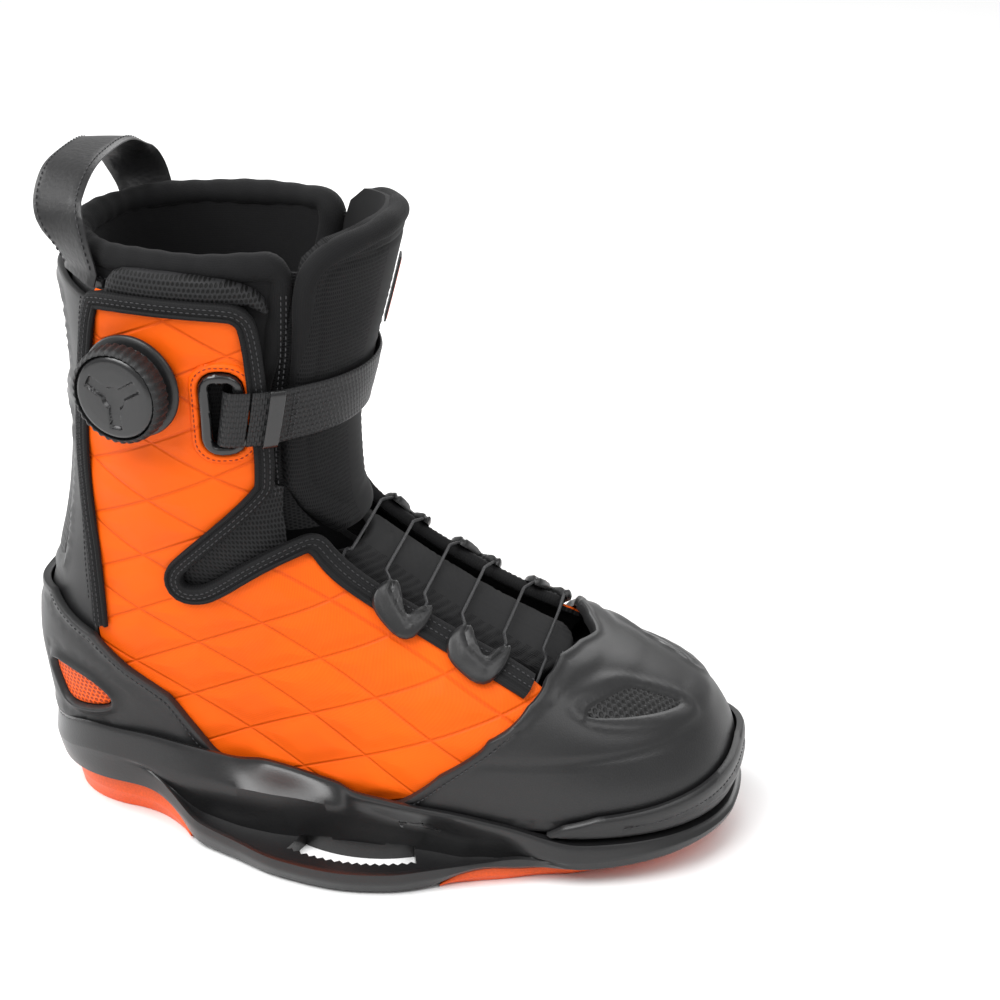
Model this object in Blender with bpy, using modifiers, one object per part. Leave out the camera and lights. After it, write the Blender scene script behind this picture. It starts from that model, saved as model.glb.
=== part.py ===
"""Wakeboard boot, right foot: moulded chassis, layered upper, liner, dial lacing and ankle strap."""
import math

import bmesh
import bpy
import numpy as np
from mathutils import Matrix, Vector
from mathutils.geometry import delaunay_2d_cdt

# Driving dimensions, all in millimetres. +X is the toe, +Y the inner side of the foot, +Z up.
MM = 0.001
LATERAL, MEDIAL = -1, 1

# Outer surface of the upper, as level slices from sole to collar:
# height, back x, front x, half width outside and inside, ball bulge outside and inside,
# rounding length at the back and at the front, front squareness
SLICES = np.array([
    [18, -140, 148, 37, 36, 16, 12, 42, 74, 2.4],
    [38, -151, 156, 39, 39, 20, 15, 45, 76, 2.4],
    [60, -155, 147, 40, 40, 17, 13, 48, 80, 2.3],
    [80, -157, 116, 42, 42, 10, 7, 52, 82, 2.4],
    [95, -156, 79, 44, 44, 4, 3, 56, 80, 2.4],
    [110, -152, 48, 46, 46, 1, 1, 59, 76, 2.3],
    [125, -149, 22, 48, 48, 0, 0, 61, 72, 2.2],
    [140, -145, 1, 50, 50, 0, 0, 63, 66, 2.1],
    [160, -141, -10, 53, 53, 0, 0, 64, 64, 2.0],
    [185, -138, -11, 56, 56, 0, 0, 63, 64, 2.0],
    [215, -137, -5, 58, 58, 0, 0, 66, 66, 2.0],
    [250, -138, 4, 60, 60, 0, 0, 71, 71, 2.0],
    [290, -139, 14, 62, 62, 0, 0, 76, 76, 2.0]], float)
TOE_SHIFT = 8.0            # how far the toe swings to the inner side

SOLE_Z = 20.0              # top of the chassis floor
UPPER_FOOT = 21.5          # lower edge of the upper's panels
CUP_FOOT = 26.0            # lower edge of heel cup and toe cap
BUMPER_FOOT = 26.5
SHELL = 3.0                # thickness of the upper's panels
LINER_GAP = 6.6            # liner's outer face below the panels' outer face
LINER = 8.0                # liner thickness
OVERLAY = 1.2              # air between a panel and what is laid on it
BINDING_WIDTH = 6.5
BINDING = 1.6
CUP = 3.0                  # heel cup and toe cap thickness
BUMPER = 4.6               # how far the toe bumper stands off the toe cap
TONGUE = 9.0

SLOT_RADIUS = 65.0         # centre line of the arc slots, about the frame's origin
SLOT_WIDTH = 16.0
SLOT_ANGLE = 26.0          # each way from straight across
POCKET_Z = 7.0             # floor of the pocket round each slot

STRAP_Z = 209.0
WEBBING_WIDTH = 25.0
LADDER_WIDTH = 38.0
LACE_R = 0.7
LACE_UNDER = -4.9          # the lace's centre where it runs inside the panels
DIAL_U, DIAL_Z = -0.403, 221.0

# Lace crossings over the tongue: x, z and half length
CROSSINGS = [(-7, 138, 27), (8, 129, 25.5), (25, 119, 25), (41.5, 110, 23.5), (60, 102, 22.5), (77, 94, 19)]

# Outlines in side view (x, z)
REAR_EDGE = {
    LATERAL: [(-56, UPPER_FOOT), (-98, 34), (-118, 60), (-121, 96), (-121, 130), (-123, 157), (-123, 190),
              (-117, 230), (-112, 254)],
    MEDIAL: [(-56, UPPER_FOOT), (-88, 34), (-99, 60), (-100, 100), (-102, 150), (-103, 190), (-93, 225),
             (-86, 254)],
}
FRONT_EDGE = [(-50, 260), (-41, 257), (-37, 249), (-36, 215), (-36, 178), (-38, 169), (-74, 135),
              (-79, 129), (-78, 123), (-73, 122), (-66, 124), (-46, 139), (-26, 148), (-19, 147),
              (-11, 136), (7, 123.5), (24, 114), (43, 104), (60, 96), (77, 87.5)]
UNDER_TOE_CAP = [(84, 83), (80, 75), (68, 61), (48, 44), (29, 32), (12, 26), (8, UPPER_FOOT)]
TOE_CAP_EDGE = [(8, CUP_FOOT), (20, 32), (39, 49), (60, 67), (75, 80), (80, 86.5), (83, 90.5), (89, 90.5)]
TOE_CAP_THROAT_Z = 89.0
HEEL_CUP_EDGE = [(-142, 107), (-121, 94), (-107, 79), (-89, 66), (-81, 55), (-70, 40), (-59, 30),
                 (-52, CUP_FOOT)]
WINDOW = [(-146, 76), (-140, 57), (-135, 53), (-117, 56), (-115, 62), (-127, 72)]
NOTCH = [(-84, 128), (-80, 117), (-68, 118), (-44, 132), (-30, 141), (-31, 152), (-31, 170), (-42, 175),
         (-66, 151), (-82, 136)]
RING = (-53, 210, 18, 38)  # strap ring: x, z, width, height
RING_BAR = 4.2


def pchip(xs, ys, x):
    """Smooth curve through the points without overshoot."""
    step = np.diff(xs)
    rise = np.diff(ys) / step
    slope = np.zeros(len(xs))
    for i in range(1, len(xs) - 1):
        if rise[i - 1] * rise[i] > 0:
            a = 2 * step[i] + step[i - 1]
            b = step[i] + 2 * step[i - 1]
            slope[i] = (a + b) / (a / rise[i - 1] + b / rise[i])
    slope[0], slope[-1] = rise[0], rise[-1]
    x = np.clip(x, xs[0], xs[-1])
    i = np.clip(np.searchsorted(xs, x) - 1, 0, len(xs) - 2)
    t = (x - xs[i]) / step[i]
    return ((1 + 2 * t) * (1 - t) ** 2 * ys[i] + t * (1 - t) ** 2 * step[i] * slope[i]
            + t * t * (3 - 2 * t) * ys[i + 1] + t * t * (t - 1) * step[i] * slope[i + 1])


def slice_value(column, z):
    return pchip(SLICES[:, 0], SLICES[:, column], z)


def ease(a, b, x):
    t = np.clip((x - a) / (b - a), 0, 1)
    return t * t * (3 - 2 * t)


def last_point(u, z):
    """Point of the upper's outer face: u is 0 at the heel and 1 at the toe, below 0 on the outer side."""
    u, z = np.asarray(u, float), np.asarray(z, float)
    turn = ((u + 1) % 2) - 1
    side = np.where(turn >= 0, 1, -1)
    back, front = slice_value(1, z), slice_value(2, z)
    x = back + (front - back) * (1 - np.cos(np.pi * np.abs(turn))) / 2
    half = np.where(side > 0, slice_value(4, z), slice_value(3, z))
    half = half + np.where(side > 0, slice_value(6, z), slice_value(5, z)) * ease(-60, 50, x)
    square = slice_value(9, z)
    at_back = np.clip(1 - (x - back) / slice_value(7, z), 0, 1)
    at_front = np.clip(1 - (front - x) / slice_value(8, z), 0, 1)
    y = side * half * (1 - at_back ** 2.2) ** (1 / 2.2) * (1 - at_front ** square) ** (1 / square)
    return np.stack([x, y + TOE_SHIFT * ease(40, 160, x), z + 0 * x], -1)


def last_normal(u, z):
    u, z = np.asarray(u, float), np.asarray(z, float)
    along = last_point(u + 1e-3, z) - last_point(u - 1e-3, z)
    up = last_point(u, z + 0.3) - last_point(u, z - 0.3)
    normal = np.cross(up, along)
    return normal / np.linalg.norm(normal, axis=-1, keepdims=True)


def last_surface(u, z, offset=0.0):
    return last_point(u, z) + offset * last_normal(u, z)


def u_at(x, z):
    """Share of the way from heel to toe at which the slice at height z has this x."""
    back, front = slice_value(1, z), slice_value(2, z)
    t = np.clip((x - back) / (front - back), 0, 1)
    return np.arccos(1 - 2 * t) / np.pi


def on_side(side, x, z):
    return (side * float(u_at(x, z)), z)


def side_point(side, x, z, offset):
    u, z = on_side(side, x, z)
    return last_surface(u, z, offset)


# Blender helpers

def make_material(name, colour, roughness, metallic=0.0):
    material = bpy.data.materials.new(name)
    material.use_nodes = True
    shader = material.node_tree.nodes["Principled BSDF"]
    shader.inputs["Base Color"].default_value = (*colour, 1)
    shader.inputs["Roughness"].default_value = roughness
    shader.inputs["Metallic"].default_value = metallic
    material.diffuse_color = (*colour, 1)
    return material


def add_object(name, mesh, material, collection):
    obj = bpy.data.objects.new(name, mesh)
    collection.objects.link(obj)
    mesh.materials.clear()
    mesh.materials.append(material)
    return obj


def mesh_from(name, points, faces):
    mesh = bpy.data.meshes.new(name)
    mesh.from_pydata([Vector(p) * MM for p in points], [], [tuple(int(i) for i in f) for f in faces])
    mesh.validate()
    return mesh


def smooth(mesh, angle=35):
    mesh.shade_smooth()
    mesh.set_sharp_from_angle(angle=math.radians(angle))


def clean(mesh, distance=1e-5):
    """Merge doubles and make the faces point outwards."""
    bm = bmesh.new()
    bm.from_mesh(mesh)
    bmesh.ops.remove_doubles(bm, verts=bm.verts, dist=distance)
    bmesh.ops.dissolve_degenerate(bm, edges=bm.edges, dist=distance)
    bmesh.ops.recalc_face_normals(bm, faces=bm.faces)
    bm.to_mesh(mesh)
    bm.free()


def softened(path, times=1):
    """Cut the corners of an open path, keeping its ends."""
    points = np.array(path, float)
    for _ in range(times):
        cut = np.stack([0.75 * points[:-1] + 0.25 * points[1:], 0.25 * points[:-1] + 0.75 * points[1:]], 1)
        points = np.vstack([points[:1], cut.reshape(-1, points.shape[1])[1:-1], points[-1:]])
    return [tuple(p) for p in points]


def spaced(path, step):
    """Points at equal steps along an open path."""
    path = np.array(path, float)
    length = np.concatenate([[0], np.cumsum(np.linalg.norm(np.diff(path, axis=0), axis=1))])
    at = np.linspace(0, length[-1], max(2, round(length[-1] / step)))
    return np.stack([np.interp(at, length, path[:, k]) for k in range(path.shape[1])], 1)


def divided(outline, spacing):
    """Outline on the last with no edge longer than the spacing, as (u, z)."""
    result = []
    for a, b in zip(outline, outline[1:] + outline[:1]):
        length = np.linalg.norm(last_point(*a) - last_point(*b))
        count = max(1, math.ceil(length / spacing))
        for i in range(count):
            t = i / count
            result.append((a[0] + (b[0] - a[0]) * t, a[1] + (b[1] - a[1]) * t))
    return result


def inside(point, outline):
    x, y = point
    hit = False
    for (ax, ay), (bx, by) in zip(outline, outline[1:] + outline[:1]):
        if (ay > y) != (by > y) and x < (bx - ax) * (y - ay) / (by - ay) + ax:
            hit = not hit
    return hit


def fill_points(outline, holes, spacing):
    """Points inside the outline about one spacing apart on the last."""
    rim = np.array([last_point(*p) for ring in [outline] + holes for p in ring])
    us, zs = [p[0] for p in outline], [p[1] for p in outline]
    chosen, places = [], []
    for z in np.arange(min(zs) + 1, max(zs), spacing * 0.4):
        for u in np.arange(min(us), max(us), spacing * 0.4 / 300):
            place = last_point(u, z)
            if np.min(np.sum((rim - place) ** 2, 1)) < (spacing * 0.62) ** 2:
                continue
            if places and np.min(np.sum((np.array(places) - place) ** 2, 1)) < spacing ** 2:
                continue
            if inside((u, z), outline) and not any(inside((u, z), hole) for hole in holes):
                chosen.append((u, z))
                places.append(place)
    return chosen


U_SCALE = 300              # millimetres of surface for one unit of u, near enough to triangulate by


def panel(name, outline, top, thickness, material, collection, spacing=12.0, holes=()):
    """A sheet that follows the last: an outline in (u, z), filled and given its thickness inwards."""
    outline = divided(list(outline), spacing)
    holes = [divided(list(hole), spacing) for hole in holes]
    points = []
    edges = []
    for ring in [outline] + holes:
        first = len(points)
        points += ring
        edges += [(first + i, first + (i + 1) % len(ring)) for i in range(len(ring))]
    points += fill_points(outline, holes, spacing)
    flat = [Vector((u * U_SCALE, z)) for u, z in points]
    verts, _, faces, *_ = delaunay_2d_cdt(flat, edges, [], 0, 1e-4)
    uz = [(v.x / U_SCALE, v.y) for v in verts]
    kept = []
    for face in faces:
        centre = np.mean([uz[i] for i in face], axis=0)
        if inside(centre, outline) and not any(inside(centre, hole) for hole in holes):
            kept.append(face)
    mesh = mesh_from(name, [last_surface(u, z, top) for u, z in uz], kept)
    bm = bmesh.new()
    bm.from_mesh(mesh)
    outward = sum(f.normal.dot(Vector(last_normal(*np.mean([uz[v.index] for v in f.verts], axis=0))))
                  for f in bm.faces)
    if outward < 0:
        bmesh.ops.reverse_faces(bm, faces=bm.faces)
    loose = [v for v in bm.verts if not v.link_faces]
    bmesh.ops.delete(bm, geom=loose, context="VERTS")
    bm.to_mesh(mesh)
    bm.free()
    smooth(mesh)
    obj = add_object(name, mesh, material, collection)
    solid = obj.modifiers.new("thickness", "SOLIDIFY")
    solid.thickness = thickness * MM
    solid.offset = -1
    return obj


def loft(name, rings, material, collection, closed_ends=True):
    """Skin over rings of equal point count, with flat ends."""
    count = len(rings[0])
    points = [p for ring in rings for p in ring]
    faces = []
    for r in range(len(rings) - 1):
        for i in range(count):
            j = (i + 1) % count
            faces.append((r * count + i, r * count + j, (r + 1) * count + j, (r + 1) * count + i))
    if closed_ends:
        faces.append(tuple(range(count)))
        faces.append(tuple((len(rings) - 1) * count + i for i in reversed(range(count))))
    mesh = mesh_from(name, points, faces)
    clean(mesh)
    smooth(mesh)
    return add_object(name, mesh, material, collection)


def cut(obj, cutter, operation="DIFFERENCE", solver="EXACT"):
    modifier = obj.modifiers.new(cutter.name, "BOOLEAN")
    modifier.operation = operation
    modifier.solver = solver
    modifier.object = cutter
    cutter.hide_render = True
    cutter.display_type = "WIRE"


def box(name, low, high, material, collection):
    bm = bmesh.new()
    bmesh.ops.create_cube(bm, size=1)
    size = [(b - a) * MM for a, b in zip(low, high)]
    centre = [(a + b) / 2 * MM for a, b in zip(low, high)]
    bmesh.ops.transform(bm, matrix=Matrix.Translation(centre) @ Matrix.Diagonal((*size, 1)), verts=bm.verts)
    mesh = bpy.data.meshes.new(name)
    bm.to_mesh(mesh)
    bm.free()
    return add_object(name, mesh, material, collection)


def prism(name, outline, low, high, material, collection, axis="Z"):
    """Outline in the plane across the axis, raised from low to high."""
    place = {"Z": lambda p, h: (p[0], p[1], h), "Y": lambda p, h: (p[0], h, p[1])}[axis]
    count = len(outline)
    points = [place(p, low) for p in outline] + [place(p, high) for p in outline]
    faces = [tuple(range(count)), tuple(range(2 * count - 1, count - 1, -1))]
    faces += [(i, (i + 1) % count, count + (i + 1) % count, count + i) for i in range(count)]
    mesh = mesh_from(name, points, faces)
    clean(mesh)
    return add_object(name, mesh, material, collection)


def turned(name, profile, centre, axis, material, collection, steps=32):
    """Profile of (radius, height) turned about an axis: top to bottom down its outer side."""
    mesh = bpy.data.meshes.new(name)
    points = [Vector((r, 0, h)) * MM for r, h in profile]
    mesh.from_pydata(points, [(i, i + 1) for i in range(len(points) - 1)], [])
    obj = add_object(name, mesh, material, collection)
    obj.location = Vector(centre) * MM
    obj.rotation_mode = "QUATERNION"
    obj.rotation_quaternion = Vector((0, 0, 1)).rotation_difference(axis)
    screw = obj.modifiers.new("turn", "SCREW")
    screw.steps = steps
    screw.render_steps = steps
    screw.use_merge_vertices = True
    screw.merge_threshold = 0.00001
    screw.use_normal_calculate = False
    return obj


def ribbon(name, path, across, width, thickness, material, collection):
    """A flat band along a path: across gives the direction of its width at each point."""
    path = [Vector(p) for p in path]
    rings = []
    for i, point in enumerate(path):
        ahead = (path[min(i + 1, len(path) - 1)] - path[max(i - 1, 0)]).normalized()
        wide = Vector(across[i])
        wide = (wide - wide.dot(ahead) * ahead).normalized() * width / 2
        deep = wide.cross(ahead).normalized() * thickness / 2
        rings.append([point - wide - deep, point + wide - deep, point + wide + deep, point - wide + deep])
    return loft(name, rings, material, collection)


def smooth_path(points, step):
    """Points a step apart along a smooth curve through the given ones."""
    points = np.array(points, float)
    padded = np.vstack([2 * points[0] - points[1], points, 2 * points[-1] - points[-2]])
    result = []
    for i in range(1, len(padded) - 2):
        a, b, c, d = padded[i - 1:i + 3]
        count = max(1, round(np.linalg.norm(c - b) / step))
        for t in np.arange(count) / count:
            result.append(0.5 * (2 * b + (c - a) * t + (2 * a - 5 * b + 4 * c - d) * t * t
                                 + (3 * b - a - 3 * c + d) * t ** 3))
    return result + [points[-1]]


def tube(name, path, radius, material, collection):
    curve = bpy.data.curves.new(name, "CURVE")
    curve.dimensions = "3D"
    curve.bevel_depth = radius * MM
    curve.bevel_resolution = 2
    curve.use_fill_caps = True
    spline = curve.splines.new("POLY")
    spline.points.add(len(path) - 1)
    for target, point in zip(spline.points, path):
        target.co = (*(Vector(point) * MM), 1)
    curve.materials.append(material)
    obj = bpy.data.objects.new(name, curve)
    collection.objects.link(obj)
    return obj


def curve_to_mesh(obj, collection):
    """The same tube as a closed mesh, for a Boolean."""
    graph = bpy.context.evaluated_depsgraph_get()
    mesh = bpy.data.meshes.new_from_object(obj.evaluated_get(graph))
    clean(mesh)
    solid = bpy.data.objects.new(obj.name + "_mesh", mesh)
    solid.matrix_world = obj.matrix_world
    collection.objects.link(solid)
    bpy.data.objects.remove(obj)
    return solid


# Chassis and what lies under it

BOTTOM = [(-165, 15), (-150, 15), (-135, 16), (-115, 16), (-97, 14), (-83, 8), (-72, 0), (36, 0),
          (50, 6), (62, 8), (80, 6), (100, 6), (121, 8.5), (135, 11.5), (150, 14), (165, 16)]
RAIL = [(-165, 42), (-144, 42), (-121, 47), (-102, 46), (-83, 43), (-66, 40), (-54, 38), (-29, 35.5),
        (-4, 33.5), (19, 34), (40, 34), (67, 29), (88, 23), (100, 21), (165, 21)]
LIP_Y = [(-165, 0), (-110, 52), (-95, 55), (-86, 58), (-70, 66), (-53, 73), (-30, 83), (0, 88),
         (22, 85), (40, 77), (65, 68), (90, 60), (100, 57), (165, 0)]
LIP_Z = [(-165, 30), (-110, 28), (-95, 23), (-86, 19), (-70, 14), (-50, 12), (-30, 11), (35, 11),
         (65, 13), (90, 15), (165, 16)]
POCKET = [(-165, 30), (-110, 28), (-95, 21), (-86, 16), (-70, 10), (-50, POCKET_Z), (48, POCKET_Z),
          (65, 9.5), (90, 14), (165, 16)]
RIDGE_Y = [(-165, 55), (-75, 52), (-50, 55), (-35, 57), (0, 55.5), (30, 56), (60, 60), (165, 60)]
RIDGE_Z = [(-165, 30), (-80, 27), (-50, 28), (-35, 28), (0, 23), (30, 19), (60, 17), (90, 17), (165, 16)]


def along(table, x):
    xs, ys = np.array(table, float).T
    return pchip(xs, ys, np.asarray(x, float))


def chassis_section(share, side):
    """Half of the chassis cut across at one station, from the floor's edge out and under."""
    u = side * share
    foot = last_point(u, 30.0)
    x = float(foot[0])
    out = last_normal(u, 30.0) * (1, 1, 0)
    out /= np.linalg.norm(out)
    rail, bottom = float(along(RAIL, x)), float(along(BOTTOM, x))
    wing = float(ease(-112, -72, x) * (1 - ease(66, 98, x)))
    clear = OVERLAY + (CUP + OVERLAY) * (1 - float(ease(-56, -46, x) * (1 - ease(-9, 0, x))))
    wall = [last_surface(u, z, clear) for z in np.linspace(SOLE_Z, rail, 3)]
    wall[0][2], wall[-1][2] = SOLE_Z, rail

    def outer(end_r, end_z, wing_y, wing_z):
        at_end = foot + out * end_r
        at_end[2] = end_z
        at_wing = np.array([x, side * wing_y, wing_z])
        return at_end + (at_wing - at_end) * wing

    low = (rail + bottom) / 2
    lip_y, lip_z = float(along(LIP_Y, x)), float(along(LIP_Z, x))
    ridge_y, ridge_z = float(along(RIDGE_Y, x)), float(along(RIDGE_Z, x))
    pocket = float(along(POCKET, x))
    edge_z = rail - 2
    points = wall + [
        outer(clear + 2.6, rail, abs(wall[-1][1]) + 2.4, rail),
        outer(clear + 3.4, edge_z, abs(wall[-1][1]) + 3.4, edge_z),
        outer(clear + 4.6, max(low, rail - 13), ridge_y, ridge_z),
        outer(clear + 4.4, max(low - 1, rail - 14), ridge_y - 0.6, pocket),
        outer(clear + 4.2, max(low - 2, rail - 15), lip_y - 4.5, pocket),
        outer(clear + 4.0, max(low - 3, rail - 16), lip_y - 3.6, lip_z),
        outer(clear + 3.8, max(low - 4, rail - 17), lip_y - 0.6, lip_z),
        outer(clear + 2.0, bottom + 2.5, lip_y, max(lip_z - 4, bottom + 3)),
        outer(1.0, bottom, lip_y - 3, bottom)]
    points = np.array(points)
    for i in range(3, len(points) - 1):
        points[i][2] = max(points[i][2], bottom + 0.3 * (len(points) - i))
    return points


STATIONS = np.concatenate([[0], np.linspace(0.035, 0.965, 39), [1]])


def make_chassis(material, parts, cutters):
    rings = []
    for share in STATIONS:
        outside, inner = chassis_section(share, LATERAL), chassis_section(share, MEDIAL)
        rings.append(list(outside) + list(inner[::-1]))
    chassis = loft("chassis", rings, material, parts, closed_ends=False)
    for side in (LATERAL, MEDIAL):
        arc = np.radians(np.linspace(-SLOT_ANGLE, SLOT_ANGLE, 14))
        outer = [((SLOT_RADIUS + SLOT_WIDTH / 2) * math.sin(a), side * (SLOT_RADIUS + SLOT_WIDTH / 2)
                  * math.cos(a)) for a in arc]
        inner = [((SLOT_RADIUS - SLOT_WIDTH / 2) * math.sin(a), side * (SLOT_RADIUS - SLOT_WIDTH / 2)
                  * math.cos(a)) for a in arc[::-1]]
        slot = prism(f"slot_cutter_{side + 1}", outer + inner, -5, POCKET_Z + 1.5, material, cutters)
        cut(chassis, slot)
        for n, (x0, x1) in enumerate([(-60, -13), (13, 34)]):
            hollow = box(f"hollow_cutter_{side + 1}_{n}", (x0, min(side * 5, side * 36), -5),
                         (x1, max(side * 5, side * 36), SOLE_Z - 6), material, cutters)
            cut(chassis, hollow)
    return chassis


PAD_INSET = 1.2
HEEL_PAD_END = -76
TOE_PAD_START = 41
TOE_PAD_BOTTOM = [(0, 0), (92, 0), (106, 2), (121, 5), (135, 8), (150, 10.8), (165, 12.5)]


def make_pad(name, shares, bottom_of, material, parts):
    """Foam pad under one end of the chassis, wedge-shaped where the chassis comes down to the board."""
    rings = []
    for share in shares:
        edges = [chassis_section(share, side)[-1] for side in (LATERAL, MEDIAL)]
        x = float(edges[0][0])
        top = float(along(BOTTOM, x)) - 0.35
        bottom = min(bottom_of(x), top - 1.2)
        outside, inner = edges[0][1] + PAD_INSET, edges[1][1] - PAD_INSET
        if outside > inner:
            outside = inner = (outside + inner) / 2
        middle = (top + bottom) / 2
        rings.append([(x, outside, top), (x, outside - 0.6, middle), (x, outside + 2.4, bottom),
                      (x, inner - 2.4, bottom), (x, inner + 0.6, middle), (x, inner, top)])
    return loft(name, rings, material, parts)


def make_heel_pad(material, parts):
    shares = [s for s in STATIONS[1:20] if last_point(s, 30.0)[0] < HEEL_PAD_END]
    return make_pad("heel_pad", shares, lambda x: 0.0, material, parts)


def make_toe_pad(material, parts):
    shares = [s for s in STATIONS[20:-1] if last_point(s, 30.0)[0] > TOE_PAD_START]
    return make_pad("toe_pad", shares, lambda x: float(along(TOE_PAD_BOTTOM, x)), material, parts)


def sole_outline(z, offset, count=48):
    return [tuple(last_surface(u, z, offset)[:2]) for u in np.linspace(-1, 1, count, endpoint=False)]


BOARD_TOP = SOLE_Z + 3.2
SCREWS = [(-36, -20), (-36, 20), (24, -20), (24, 20)]


def make_lasting_board(material, parts, cutters):
    outline = sole_outline(22.0, -SHELL - 1.4)
    board = prism("lasting_board", outline, SOLE_Z + 0.4, BOARD_TOP, material, parts)
    for n, (x, y) in enumerate(SCREWS):
        hole = turned(f"screw_hole_{n}", [(0, 30), (2.4, 30), (2.4, 5), (0, 5)], (x, y, 0),
                      Vector((0, 0, 1)), material, cutters, steps=12)
        cut(board, hole)
        cut(bpy.data.objects["chassis"], hole)
    return board


def make_screws(material, parts):
    for n, (x, y) in enumerate(SCREWS):
        head = SOLE_Z - 6.4
        profile = [(0, BOARD_TOP + 0.2), (2, BOARD_TOP + 0.2), (2, head), (4.6, head), (4.6, head - 1.6),
                   (3.4, head - 2.8), (0, head - 2.8)]
        turned(f"chassis_screw_{n + 1}", profile, (x, y, 0), Vector((0, 0, 1)), material, parts, steps=10)


# Upper

def quarter_outline(side):
    path = REAR_EDGE[side] + [(REAR_EDGE[side][-1][0] + 5, 260)] + FRONT_EDGE + UNDER_TOE_CAP
    return [on_side(side, x, z) for x, z in path]


def binding_outline(side):
    """A strip along the quarter's rear, top, front, notch and lace edges, as a closed outline."""
    rear = [p for p in REAR_EDGE[side] if p[1] > 97]
    start = [(rear[0][0], 98.5 if side == LATERAL else 101)]
    path = start + rear[0 if side == LATERAL else 1:]
    path += [(REAR_EDGE[side][-1][0] + 5, 260)] + FRONT_EDGE[:-1]
    path = spaced(softened(path + [(76, 88.2)], 1), 5.5)
    ahead = np.gradient(path, axis=0)
    ahead /= np.linalg.norm(ahead, axis=1, keepdims=True)
    inner = path + BINDING_WIDTH * np.stack([ahead[:, 1], -ahead[:, 0]], 1)
    gap = np.linalg.norm(inner[:, None] - path[None], axis=2).min(1)
    inner = inner[gap > BINDING_WIDTH - 0.2]
    ring = [tuple(p) for p in path] + [tuple(p) for p in inner[::-1]]
    return [on_side(side, x, z) for x, z in ring]


def oblong(x, z, width, height, radius):
    """Rounded rectangle in side view."""
    points = []
    for cx, cz, start in ((1, 1, 0), (-1, 1, 90), (-1, -1, 180), (1, -1, 270)):
        for turn in (0, 45, 90):
            a = math.radians(start + turn)
            points.append((x + cx * (width / 2 - radius) + radius * math.cos(a),
                           z + cz * (height / 2 - radius) + radius * math.sin(a)))
    return points


def dial_hole(radius, count=20):
    """Circle round the dial's axis, as points of the quarter."""
    centre = last_point(DIAL_U, DIAL_Z)
    ring = []
    for a in np.linspace(0, 2 * math.pi, count, endpoint=False):
        ring.append(on_side(LATERAL, centre[0] + radius * math.cos(a), DIAL_Z + radius * math.sin(a)))
    return ring


def make_quarters(orange, black, parts):
    for side, name in ((LATERAL, "lateral"), (MEDIAL, "medial")):
        holes = []
        if side == LATERAL:
            ring = oblong(RING[0], RING[1], RING[2] + 1.4, RING[3] + 1.4, 8)
            holes = [[on_side(side, *p) for p in ring], dial_hole(19.0)]
        panel(f"quarter_{name}", quarter_outline(side), 0.0, SHELL, orange, parts, 11.0, holes)
        panel(f"binding_{name}", binding_outline(side), OVERLAY + BINDING, BINDING, black, parts, 9.0)


def make_gussets(material, parts):
    for side, name in ((LATERAL, "lateral"), (MEDIAL, "medial")):
        outline = [on_side(side, *p) for p in NOTCH]
        panel(f"ankle_gusset_{name}", outline, -SHELL - 0.8, 1.8, material, parts)


def both_sides(edge, ends):
    """Outline that runs up one side of an end of the boot and down the other."""
    outside = [on_side(LATERAL, *p) for p in edge]
    if ends == "heel":
        inner = [(-u, z) for u, z in outside]
        return outside, inner[::-1]
    inner = [(-2 - u, z) for u, z in outside]
    return outside, inner[::-1]


def make_toe_cap(material, parts):
    outside, inner = both_sides(TOE_CAP_EDGE, "toe")
    outline = outside + [(-1.0, TOE_CAP_THROAT_Z)] + inner
    return panel("toe_cap", outline, OVERLAY + CUP, CUP, material, parts, 12.5)


def make_toe_bumper(material, parts):
    top = [(86, BUMPER_FOOT + 1), (93, 32), (107, 36), (130, 38), (148, 41)]
    outside, inner = both_sides([(88, BUMPER_FOOT)] + top, "toe")
    outline = outside + [(-1.0, 45)] + inner
    return panel("toe_bumper", outline, OVERLAY + CUP + BUMPER, BUMPER - 1.3, material, parts, 9.0)


def make_heel_cup(material, insert, parts):
    outside, inner = both_sides(HEEL_CUP_EDGE, "heel")
    outline = outside[::-1] + [(0.0, 104)] + inner[::-1]
    windows = [[on_side(side, *p) for p in WINDOW] for side in (LATERAL, MEDIAL)]
    panel("heel_cup", outline, OVERLAY + CUP, CUP, material, parts, 12.0, windows)
    middle = np.mean(WINDOW, axis=0)
    for side, name in ((LATERAL, "lateral"), (MEDIAL, "medial")):
        shrunk = [on_side(side, *(middle + (np.array(p) - middle) * 0.92)) for p in WINDOW]
        panel(f"heel_window_{name}", shrunk, OVERLAY + CUP - 0.8, 2.0, insert, parts, 10.0)


SPINE_GAP = 0.8


def make_spine(material, parts):
    """Back panel between the rear edges of the quarters."""
    outside = [on_side(LATERAL, x - SPINE_GAP, z) for x, z in REAR_EDGE[LATERAL][2:]]
    inner = [on_side(MEDIAL, x - SPINE_GAP, z) for x, z in REAR_EDGE[MEDIAL][2:]]
    outline = outside + [(-0.1, 261), (0.1, 261)] + inner[::-1]
    return panel("spine_shell", outline, 0.0, SHELL, material, parts, 13.0)


# Liner and tongue

LINER_HEIGHTS = [25, 35, 48, 60, 70, 78, 85, 91, 97, 104, 112, 122, 135, 152, 178, 210, 245, 264, 276]
RIM_Z = LINER_HEIGHTS[-1]


def last_solid(name, heights, offset, floor_z, material, collection, count=26):
    rings = []
    for z in heights:
        ring = last_surface(np.linspace(-1, 1, count, endpoint=False), z, offset)
        ring[:, 2] = np.maximum(ring[:, 2], floor_z)
        rings.append(ring)
    rings[0][:, 2] = floor_z
    return loft(name, rings, material, collection)


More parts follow.
